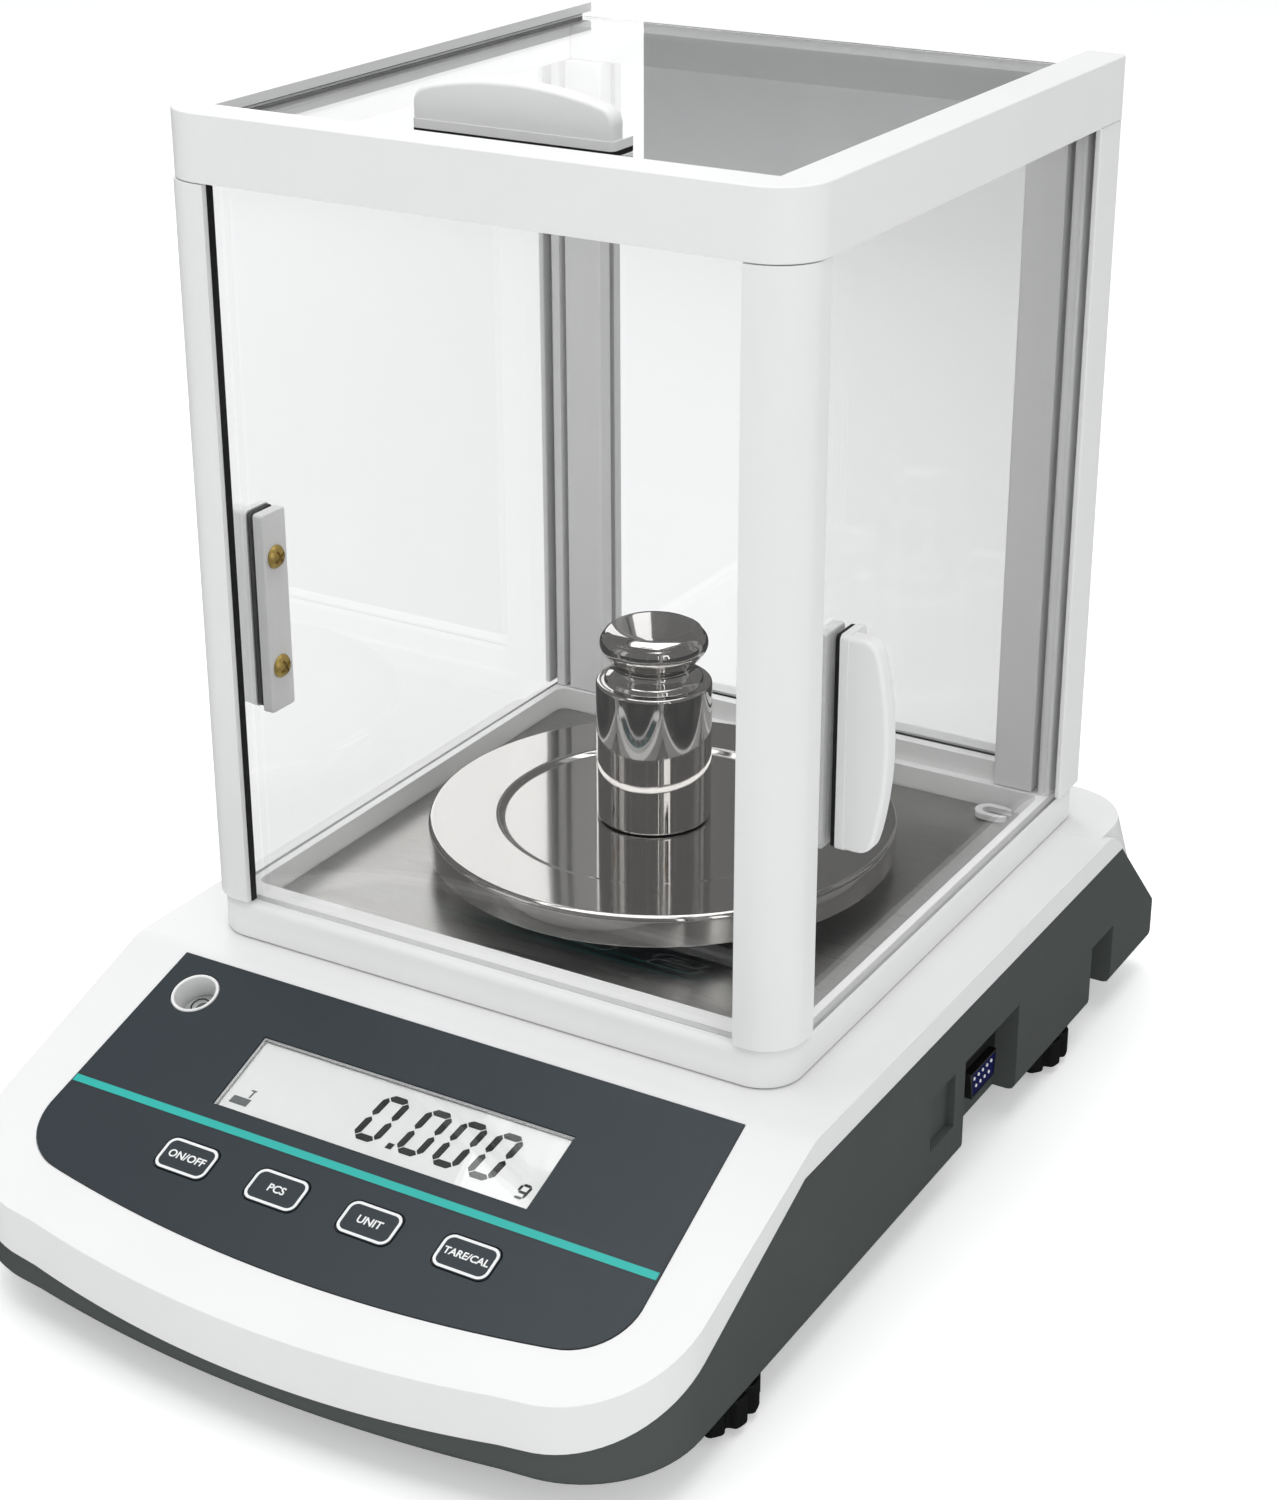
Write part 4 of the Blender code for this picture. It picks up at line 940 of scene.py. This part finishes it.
# %% Pan
pan_low, pan_high = span("pan")
PAN_R = (pan_high.x - pan_low.x) / 2
PAN_TOP = pan_high.z
inner = PAN_R * 0.68
rim = ([(0, PAN_TOP - 1.2), (inner - 1.0, PAN_TOP - 1.2), (inner - 0.3, PAN_TOP - 1.1),
        (inner + 0.5, PAN_TOP - 0.35), (inner + 1.2, PAN_TOP - 0.05), (inner + 2.0, PAN_TOP)]
       + [(PAN_R - 1.6, PAN_TOP)]
       + [(PAN_R - 1.6 + a, PAN_TOP - 1.6 + b) for a, b in arc(0, 0, 1.6, 80, 0, 6)]
       + [(PAN_R, pan_low.z + 0.4), (PAN_R - 0.3, pan_low.z), (PAN_R - 0.8, pan_low.z),
          (PAN_R - 1.0, pan_low.z + 0.4), (PAN_R - 1.0, PAN_TOP - 2.2),
          (PAN_R - 1.8, PAN_TOP - 2.8), (0, PAN_TOP - 2.8)])
pan = spin(rim, 0, PAN_Y, 160)
piece(pan, "pressed_pan", pan_steel, "weighing_pan", "pan", slot="pan_steel", crease=50)
print("pan %.0f mm across" % (2 * PAN_R))

# %% Weight
low, high = span("calibration_weight")
wr, base, top = (high.x - low.x) / 2, low.z, high.z
cx, cy, _ = middle("calibration_weight")
knob = wr * 0.93
profile = [(0, top), (knob * 0.62, top - 0.15), (knob * 0.78, top - 0.6),
           (knob * 0.88, top - 1.4)]
profile += arc(knob - 3.4, top - 5.0, 3.4, 52, -62, 14)
profile += [(wr * 0.80, top - 8.9), (wr * 0.71, top - 10.0), (wr * 0.665, top - 11.3),
            (wr * 0.665, top - 12.3), (wr * 0.70, top - 13.3), (wr * 0.78, top - 14.0),
            (wr * 0.80, top - 14.3), (wr * 0.82, top - 14.5), (wr * 0.84, top - 14.9),
            (wr * 0.85, top - 15.6), (wr * 0.87, top - 15.9), (wr * 0.93, top - 16.0)]
profile += arc(wr - 1.2, top - 17.2, 1.2, 80, 0, 5)
profile += [(wr, base + 0.9), (wr - 0.25, base + 0.25), (wr - 0.9, base), (0, base)]
weight = spin(profile, cx, cy, 128)
piece(weight, "knob_weight", mirror_steel, "weight", "calibration_weight",
      slot="polished_metal", crease=50)
print("weight %.1f x %.0f mm" % (2 * wr, top - base))

# %% [markdown]
# ## Feet
# Each foot is a black knob with finger flutes, screwed into a boss, over a rubber pad. The
# flutes are scallops, so the outline is a circle with smooth dips.

# %% Levelling feet
KNOB_R, FLUTE_DEEP, FLUTES = 17.0, 1.9, 14
for foot in FEET:
    low, high = span("foot_%s_knob" % foot)
    pad_low, pad_high = span("foot_%s_pad" % foot)
    x, y, _ = middle("foot_%s_pad" % foot)
    outline = []
    for i in range(FLUTES * 10):
        t = 2 * math.pi * i / (FLUTES * 10)
        far = KNOB_R - FLUTE_DEEP * max(0.0, math.cos(FLUTES * t)) ** 1.4
        outline.append((x + far * math.cos(t), y + far * math.sin(t)))
    knob = soften(push(outline, low.z, BELLY - 0.6), 0.6, 2, None, 60)
    knob = join(knob, disc(3.9, x, y, BELLY - 1.6, high.z, UP, 32))
    piece(knob, "fluted_knob_" + foot, knob_abs, "foot_%s_screw" % foot,
          "foot_%s_knob" % foot, slot="black_plastic")
    r = (pad_high.x - pad_low.x) / 2
    pad = spin([(0, pad_high.z), (r - 0.6, pad_high.z), (r, pad_high.z - 0.6), (r, 0.5),
                (r - 0.5, 0.0), (r - 2.5, 0.0), (r - 3.0, 0.3), (r - 3.6, 0.3),
                (r - 4.1, 0.0), (0, 0.0)], x, y, 64)
    piece(pad, "foot_rubber_" + foot, black_rubber_and_painted_shade, "foot_%s_foot" % foot,
          "foot_%s_pad" % foot, slot="rubber")
print("four feet")

# %% [markdown]
# ## Sockets
# The data socket is a thin D-shaped steel shell round a blue insulator, in a black flange.
# Nine contacts stand in the holes of the insulator, five over four.

# %% Data socket
PIN_PITCH = 2.77
low, high = span("serial_port")
pz = middle("serial_port")[2]
plate_x = high.x


def dee(grow):
    """The D outline of the shell as (y, z), wider at the top."""
    w, h, lean_in = 8.3 + grow, 4.0 + grow, 0.8
    return [(PORT_Y - w, pz + h), (PORT_Y - w + lean_in, pz - h), (PORT_Y + w - lean_in, pz - h),
            (PORT_Y + w, pz + h)]


insulator = push(dee(-0.5), HALF - 20, plate_x + 2.9, ACROSS)
pins = []
for row, count in ((1.4, 5), (-1.4, 4)):
    for i in range(count):
        y = PORT_Y + (i - (count - 1) / 2) * PIN_PITCH
        pins.append((y, pz + row))
insulator = cut(insulator, *[push(arc(y, z, 0.65, 0, 330, 11), plate_x - 2, plate_x + 5,
                                  ACROSS) for y, z in pins])
piece(insulator, "socket_insulator", socket_blue, "base", "serial_port", slot="blue_plastic")
wall = cut(push(dee(0.0), plate_x - 0.2, plate_x + 3.3, ACROSS),
           push(dee(-0.45), plate_x - 5, plate_x + 9, ACROSS))
piece(wall, "socket_shell", mirror_steel, "base", slot="polished_metal")
ears = cut(block(low.y, high.y, pz - 6.0, pz + 6.0, plate_x - 0.8, plate_x - 0.25, ACROSS),
           push(dee(-0.4), plate_x - 5, plate_x + 5, ACROSS))
piece(soften(ears, 0.15, 2, None, 60), "socket_flange", knob_abs, "base",
      slot="black_plastic")
for i, (y, z) in enumerate(pins):
    tip = spin([(0, 3.3), (0.4, 3.25), (0.52, 3.1), (0.52, 0.0), (0, 0.0)], 0, 0, 16)
    tip.data.transform(Matrix.Translation(Vector((plate_x - 0.1, y, z)) * MM)
                       @ Matrix.Rotation(math.pi / 2, 4, "Y"))
    piece(tip, "socket_contact_%d" % i, extrusion, "base", slot="grey_extrusion")
print("contacts:", len(pins))

# %% [markdown]
# ## Parts left as engineered
# Some CAD parts already have the right shape: the chamber floor and its clip, the header,
# the hub, and the works inside. They keep their meshes and take a real finish.

# %% Finishes on the CAD parts
kept = {"floor_plate": floor_steel, "floor_clip": extrusion, "rear_header": extrusion,
        "pan_hub": cast_alloy, "load_cell": cast_alloy, "load_cell_base": cast_alloy,
        "load_spindle": floor_steel, "main_board": board, "key_board": board,
        "power_jack": knob_abs}
for node, material in kept.items():
    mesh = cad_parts[node].data
    mesh.materials.clear()
    mesh.materials.append(material)
print("CAD parts finished:", len(kept))

# %% [markdown]
# ## Studio
# A pale sweep and a large soft light overhead give the even, nearly shadowless look of a
# catalogue. Polished steel shows only what it mirrors, so the surroundings are dark to
# mirrors, and three tall softboxes stand where the pan, the lid and the weight find them.

# %% Floor
sweep = bpy.data.materials.new("pale sweep")
sweep.use_nodes = True
paper = sweep.node_tree.nodes["Principled BSDF"]
paper.inputs["Base Color"].default_value = linear("#f4f4f4")
paper.inputs["Roughness"].default_value = 0.95
paper.inputs["Specular IOR Level"].default_value = 0.0
paper.inputs["Emission Color"].default_value = linear("#ffffff")
bench = sweep.node_tree
ray = add(bench, "LightPath")
glow = add(bench, "MapRange", {"Value": ray.outputs["Is Camera Ray"], "To Min": 0.06,
                               "To Max": 0.34})
bench.links.new(glow.outputs[0], paper.inputs["Emission Strength"])
shade = add(bench, "BsdfDiffuse", {"Color": linear("#4a4a4a")})
seen = add(bench, "MixShader", {0: ray.outputs["Glossy Depth"], 1: paper.outputs[0],
                                2: shade.outputs[0]})
bench.links.new(seen.outputs[0], bench.nodes["Material Output"].inputs[0])
ground = block(-6000, 6000, -6000, 6000, -20, 0)
ground.name = "studio_floor"
ground.data.materials.append(sweep)

# %% Lights and world
scene = bpy.context.scene
scene.view_settings.view_transform = "Standard"
world = bpy.data.worlds.new("studio")
scene.world = world
world.use_nodes = True
air = world.node_tree
path = add(air, "LightPath")
tone = add(air, "MixRGB", {"Fac": path.outputs["Glossy Depth"], "Color1": linear("#ffffff"),
                           "Color2": linear("#767676")})
lit = add(air, "MixRGB", {"Fac": path.outputs["Is Diffuse Ray"], "Color1": tone.outputs[0],
                          "Color2": linear("#cacbcc")})
air.links.new(lit.outputs[0], air.nodes["Background"].inputs["Color"])


def softbox(name, radiance, size, place, aim):
    """A rectangular area light of a given brightness, aimed at a point, in metres."""
    lamp = bpy.data.lights.new(name, "AREA")
    lamp.shape = "RECTANGLE"
    lamp.size, lamp.size_y = size
    lamp.energy = radiance * math.pi * size[0] * size[1]
    holder = bpy.data.objects.new(name, lamp)
    scene.collection.objects.link(holder)
    holder.location = place
    holder.rotation_euler = (Vector(aim) - Vector(place)).to_track_quat("-Z", "Y").to_euler()
    return holder


softbox("overhead", 2.2, (1.6, 1.6), (-0.1, 0.0, 1.7), (-0.1, 0.001, 0.1))
softbox("front left", 0.4, (0.55, 1.0), (-0.92, -0.93, 0.62), (0, 0, 0.62))
softbox("front right", 1.5, (0.55, 1.0), (1.02, -0.80, 0.62), (0, 0, 0.62))
softbox("rear left", 1.3, (1.1, 1.15), (-1.125, 1.0, 0.78), (-1.125, 0.0, 0.78))
print("studio lit")

# %% [markdown]
# ## Camera
# The camera stands to the front right and looks down by 23 degrees, with a longish lens, so
# the panel, the chamber and the right side are all seen.

# %% Camera
AZIMUTH, ELEVATION, DISTANCE = math.radians(30.29), math.radians(23.01), 0.700
aim = Vector((0.0299, -0.0207, 0.1481))
lens = bpy.data.cameras.new("camera")
lens.sensor_fit = "VERTICAL"
lens.sensor_height = 36.0
lens.lens = 66.29
lens.shift_x = -0.0104
lens.shift_y = -0.0452
lens.clip_start = 0.01
camera = bpy.data.objects.new("camera", lens)
scene.collection.objects.link(camera)
direction = Vector((math.sin(AZIMUTH) * math.cos(ELEVATION),
                    -math.cos(AZIMUTH) * math.cos(ELEVATION), math.sin(ELEVATION)))
camera.location = aim + direction * DISTANCE
camera.rotation_euler = (-direction).to_track_quat("-Z", "Y").to_euler()
scene.camera = camera
print("camera at", [round(v, 3) for v in camera.location])

# %% [markdown]
# ## Finish
# The looks must stay the size of the engineered model. The number of made pieces is printed.

# %% Count of pieces
print("pieces:", len(made_pieces))
